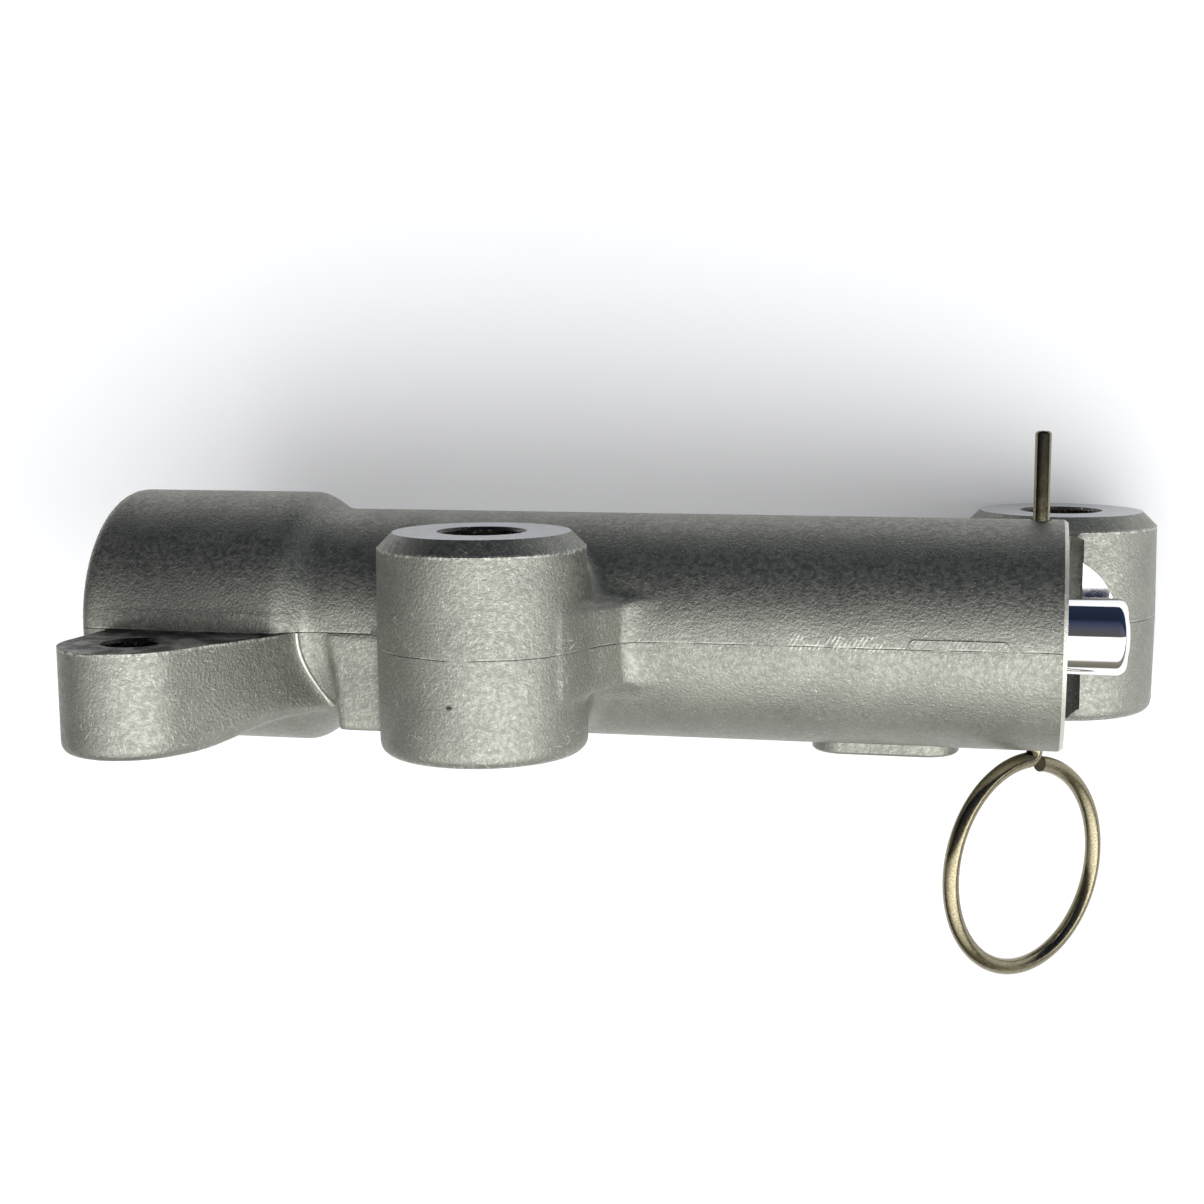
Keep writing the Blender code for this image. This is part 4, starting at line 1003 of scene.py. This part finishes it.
def cast_look():
    """Shot-blasted cast aluminium with its parting line, scratches and worn edges."""
    look = Look("cast_aluminium", (0.28, 0.285, 0.25), 0.5)
    x, y, z = look.axes()
    height = look.less(y, AXIS_Y)
    depth = look.less(z, AXIS_Z)
    colour = look.blend(look.ramp(look.noise(180.0, 3.0), 0.3, 0.7), CAST_DARK, CAST_LIGHT)
    flecks = look.ramp(look.noise(3600.0, 2.0, rough=0.6), 0.58, 0.74)
    colour = look.blend(flecks, colour, FLECK_SHADE)
    marks = streaks(look, depth)
    waving = look.waving(*SCRATCH_WAVE)
    for start, end in scratch_places():
        marks = look.most(marks, look.segment(waving, start, end, SCRATCH_WIDTH))
    marks = look.most(marks, look.times(hatch(look, x, height), look.ramp(depth, 0.0, 0.004)))
    marks = look.most(marks, worn_edges(look, x, height, depth))
    colour = look.blend(marks, colour, MARK_SHADE)
    pit = [on_drum(turn, PIT_HEIGHT, CENTRE_BOSS_STATION, CENTRE_BOSS_DEPTH, BOSS_R) for turn in PIT_TURNS]
    wander = look.times(look.less(look.noise(120.0, 1.0), 0.5), SEAM_WANDER)
    level = look.less(height, wander)
    seam = look.ramp(look.math("ABSOLUTE", level), *SEAM_LINE, 1.0, 0.0)
    seam = look.times(seam, look.ramp(look.noise(350.0, 1.0), 0.35, 0.6, 0.15, 0.9))
    dark = look.most(look.segment(waving, *pit, PIT_WIDTH), seam)
    glint = look.ramp(look.math("ABSOLUTE", look.less(level, GLINT_LIFT)), *GLINT_LINE, 0.6, 0.0)
    glint = look.times(glint, look.ramp(look.noise(240.0, 1.0), 0.42, 0.58))
    colour = look.blend(glint, colour, GLINT_SHADE)
    look.use("Base Color", look.blend(dark, colour, SEAM_SHADE))
    look.use("Roughness", look.ramp(look.noise(1500.0, 2.0), 0.3, 0.7, 0.46, 0.62))
    look.use("Metallic", look.less(1.0, look.times(marks, 0.6)))
    normal = look.bump(look.noise(2700.0, 2.0, rough=0.6), 0.00009)
    look.use("Normal", look.bump(look.noise(700.0, 1.0), 0.00003, normal))
    return look.surface


def machined_look():
    """Cut aluminium, smoother and brighter than the cast skin."""
    look = Look("machined_aluminium", (0.44, 0.455, 0.48), 0.36)
    look.use("Roughness", look.ramp(look.noise(900.0, 2.0), 0.3, 0.7, 0.32, 0.40))
    look.use("Normal", look.bump(look.noise(4200.0, 1.0), 0.000006))
    return look.surface


def shaded_hole_look():
    """Drilled walls painted dark as painted shade inside the holes, with a few bright flecks as painted
    highlights.
    """
    look = Look("hole_walls_painted_shade", (0.10, 0.095, 0.085), 0.45)
    flecks = look.ramp(look.noise(2600.0, 2.0), 0.60, 0.72)
    # Painted shade on the hole walls, broken by bright flecks that are painted highlights.
    look.use("Base Color", look.blend(flecks, (0.075, 0.070, 0.062), (0.42, 0.41, 0.38)))
    look.use("Roughness", look.ramp(look.noise(900.0, 2.0), 0.3, 0.7, 0.36, 0.52))
    look.use("Normal", look.bump(look.noise(2400.0, 1.0), 0.00003))
    return look.surface


def metal(name, colour, low, high, scale=1200.0, grain=0.00002, metallic=1.0):
    """A plain surface whose gloss and skin vary a little."""
    look = Look(name, colour, (low + high) / 2, metallic)
    look.use("Roughness", look.ramp(look.noise(scale, 2.0), 0.3, 0.7, low, high))
    look.use("Normal", look.bump(look.noise(2 * scale, 2.0), grain))
    return look.surface


def pin_look():
    """Dull plated wire with darker and brighter specks."""
    look = Look("pin_plating", (0.17, 0.15, 0.105), 0.3)
    specks = look.ramp(look.noise(3800.0, 2.0), 0.35, 0.72)
    look.use("Base Color", look.blend(specks, (0.20, 0.175, 0.115), (0.29, 0.26, 0.18)))
    look.use("Roughness", look.ramp(look.noise(1500.0, 2.0), 0.3, 0.7, 0.17, 0.24))
    look.use("Normal", look.bump(look.noise(3000.0, 2.0), 0.000008))
    return look.surface


CAST = cast_look()
MACHINED = machined_look()
SHADED_HOLE_WALLS = shaded_hole_look()
MILLED = metal("milled_aluminium", (0.90, 0.90, 0.89), 0.10, 0.16, 900.0, 0.000002)
# Bright worn metal: real wear on the mouth's rim, and a painted highlight on the web's bead.
WORN_AND_SHEEN = metal("worn_edge_and_sheen", (0.62, 0.61, 0.56), 0.42, 0.58, 1800.0, 0.00003)
ROD_CHROME = metal("rod_chrome", (0.88, 0.88, 0.90), 0.02, 0.05, 700.0, 0.000001)
PIN_PLATING = pin_look()


# Edges that turn by more than this many degrees stay sharp.
SCULPTED_SHARP = 32
NODE_SHARP = 35


def smooth(piece, degrees):
    piece.data.shade_smooth()
    piece.data.set_sharp_from_angle(angle=math.radians(degrees))


def dress_inner_pieces():
    """Give every node that is kept from the CAD its real finish."""
    steel = metal("inner_steel", (0.58, 0.58, 0.58), 0.24, 0.36)
    bronze = metal("bush_bronze", (0.55, 0.38, 0.20), 0.30, 0.42)
    rubber = metal("seal_rubber", (0.03, 0.03, 0.03), 0.55, 0.70, metallic=0.0)
    plastic = metal("guide_plastic", (0.10, 0.09, 0.07), 0.40, 0.55, metallic=0.0)
    spring = metal("spring_wire", (0.32, 0.32, 0.33), 0.30, 0.42)
    kinds = {"rod_guide_bush": bronze, "oil_seal": rubber, "plug_seal_ring": rubber,
             "wear_ring": plastic, "return_spring": spring, "plunger_spring": spring,
             "check_ball_spring": spring, "garter_spring": spring, "snap_ring": spring,
             "end_circlip": spring}
    for name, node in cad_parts.items():
        if name in ("housing", "push_rod", "pull_pin"):
            continue
        node.data.materials.clear()
        node.data.materials.append(kinds.get(name, steel))
        smooth(node, NODE_SHARP)


# The camera, fitted to the photograph's perspective.
FRAME_PIXELS = 1204
SENSOR = 36.0
FOCAL_PIXELS = 1820.6
CAMERA_PLACE = (-0.006166, 0.036887, 0.237514)
CAMERA_TURN = (-0.1435, 0.1939, 0.0121)
CAMERA_SHIFT = (-0.05, 0.0075)


def build_camera():
    """The camera at the photograph's viewing angle."""
    data = bpy.data.cameras.new("camera")
    data.sensor_width = SENSOR
    data.lens = FOCAL_PIXELS / FRAME_PIXELS * SENSOR
    data.shift_x, data.shift_y = CAMERA_SHIFT
    data.clip_start = 0.01
    data.clip_end = 10.0
    camera = bpy.data.objects.new("camera", data)
    bpy.context.scene.collection.objects.link(camera)
    turn = Vector(CAMERA_TURN)
    camera.rotation_mode = "QUATERNION"
    camera.rotation_quaternion = Matrix.Rotation(turn.length, 3, turn.normalized()).to_quaternion()
    camera.location = Vector((MOUTH_X, AXIS_Y, AXIS_Z)) + Vector(CAMERA_PLACE)
    bpy.context.scene.camera = camera


# The studio's paper, and the brightness round the part by angle from straight up towards +Y.
PAPER_LOW = (-0.45, -0.28)
PAPER_HIGH = (0.30, 0.118)
PAPER_DROP = 0.0003
SKY_STRENGTH = 4.59
SKY = (
    (-180, (0.10, 0.10, 0.11)),
    (-112, (0.07, 0.068, 0.06)),
    (-88, (0.055, 0.052, 0.042)),
    (-72, (0.08, 0.075, 0.06)),
    (-67, (0.30, 0.30, 0.29)),
    (-50, (0.60, 0.60, 0.59)),
    (-38, (1.0, 1.0, 0.98)),
    (-10, (1.0, 1.0, 0.98)),
    (0, (0.72, 0.72, 0.71)),
    (6, (0.55, 0.55, 0.54)),
    (9, (0.030, 0.029, 0.026)),
    (28, (0.026, 0.027, 0.033)),
    (47, (0.014, 0.018, 0.034)),
    (60, (0.004, 0.006, 0.012)),
    (112, (0.006, 0.009, 0.018)),
    (150, (0.06, 0.065, 0.08)),
    (180, (0.11, 0.115, 0.13)),
)
SKY_ACROSS = (
    (-1.0, 0.10),
    (-0.85, 0.16),
    (-0.5, 0.36),
    (-0.1, 0.68),
    (0.0, 0.74),
    (0.4, 0.84),
    (0.8, 1.0),
    (1.0, 1.0),
)
PAPER_SHADE = (0.70, 0.705, 0.725)
PAPER_GLOW = 0.22


def gradient(tree, value, low, high, stops):
    """A colour that changes with a value, through stops given in the value's own units."""
    share = tree.nodes.new("ShaderNodeMapRange")
    share.inputs["From Min"].default_value = low
    share.inputs["From Max"].default_value = high
    tree.links.new(value, share.inputs["Value"])
    ramp = tree.nodes.new("ShaderNodeValToRGB")
    marks = ramp.color_ramp.elements
    while len(marks) < len(stops):
        marks.new(0.5)
    for mark, (at, colour) in zip(marks, stops):
        mark.position = (at - low) / (high - low)
        mark.color = (*colour, 1.0)
    tree.links.new(share.outputs["Result"], ramp.inputs["Fac"])
    return ramp.outputs["Color"]


def build_sky():
    """Soft light from all round, by its angle from straight up and by its side."""
    world = bpy.data.worlds.new("studio")
    world.use_nodes = True
    nodes = world.node_tree.nodes
    links = world.node_tree.links
    direction = nodes.new("ShaderNodeTexCoord").outputs["Generated"]
    split = nodes.new("ShaderNodeSeparateXYZ")
    links.new(direction, split.inputs["Vector"])
    angle = nodes.new("ShaderNodeMath")
    angle.operation = "ARCTAN2"
    links.new(split.outputs["Y"], angle.inputs[0])
    links.new(split.outputs["Z"], angle.inputs[1])
    turns = [(math.radians(degrees), colour) for degrees, colour in SKY]
    sides = [(across, (level, level, level)) for across, level in SKY_ACROSS]
    background = nodes["Background"]
    colour = gradient(world.node_tree, angle.outputs["Value"], -math.pi, math.pi, turns)
    links.new(colour, background.inputs["Color"])
    strength = nodes.new("ShaderNodeMath")
    strength.operation = "MULTIPLY"
    strength.inputs[1].default_value = SKY_STRENGTH
    links.new(gradient(world.node_tree, split.outputs["X"], -1.0, 1.0, sides), strength.inputs[0])
    links.new(strength.outputs["Value"], background.inputs["Strength"])
    bpy.context.scene.world = world


def paper_look():
    look = Look("studio_paper", PAPER_SHADE, 0.85, 0.0)
    look.use("Roughness", look.ramp(look.noise(400.0, 2.0), 0.3, 0.7, 0.80, 0.90))
    look.shader.inputs["Specular IOR Level"].default_value = 0.1
    look.shader.inputs["Emission Color"].default_value = (1.0, 1.0, 1.0, 1.0)
    look.shader.inputs["Emission Strength"].default_value = PAPER_GLOW
    return look.surface


def build_studio():
    low = PAPER_LOW
    high = PAPER_HIGH
    corners = [(low[0], low[1], -PAPER_DROP), (high[0], low[1], -PAPER_DROP),
               (high[0], high[1], -PAPER_DROP), (low[0], high[1], -PAPER_DROP)]
    paper = add_mesh("studio_paper", corners, [(0, 1, 2, 3)])
    paper.data.materials.append(paper_look())
    build_sky()
    bpy.context.scene.view_settings.view_transform = "Standard"


def hand_over(piece, body, node):
    """Let a piece stand for its node, on the same body."""
    smooth(piece, SCULPTED_SHARP)
    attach(piece, body)
    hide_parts(node)


hand_over(build_housing(), "body", "housing")
hand_over(build_rod(), "rod", "push_rod")
hand_over(build_pull_pin(), "pin", "pull_pin")
dress_inner_pieces()
build_camera()
build_studio()
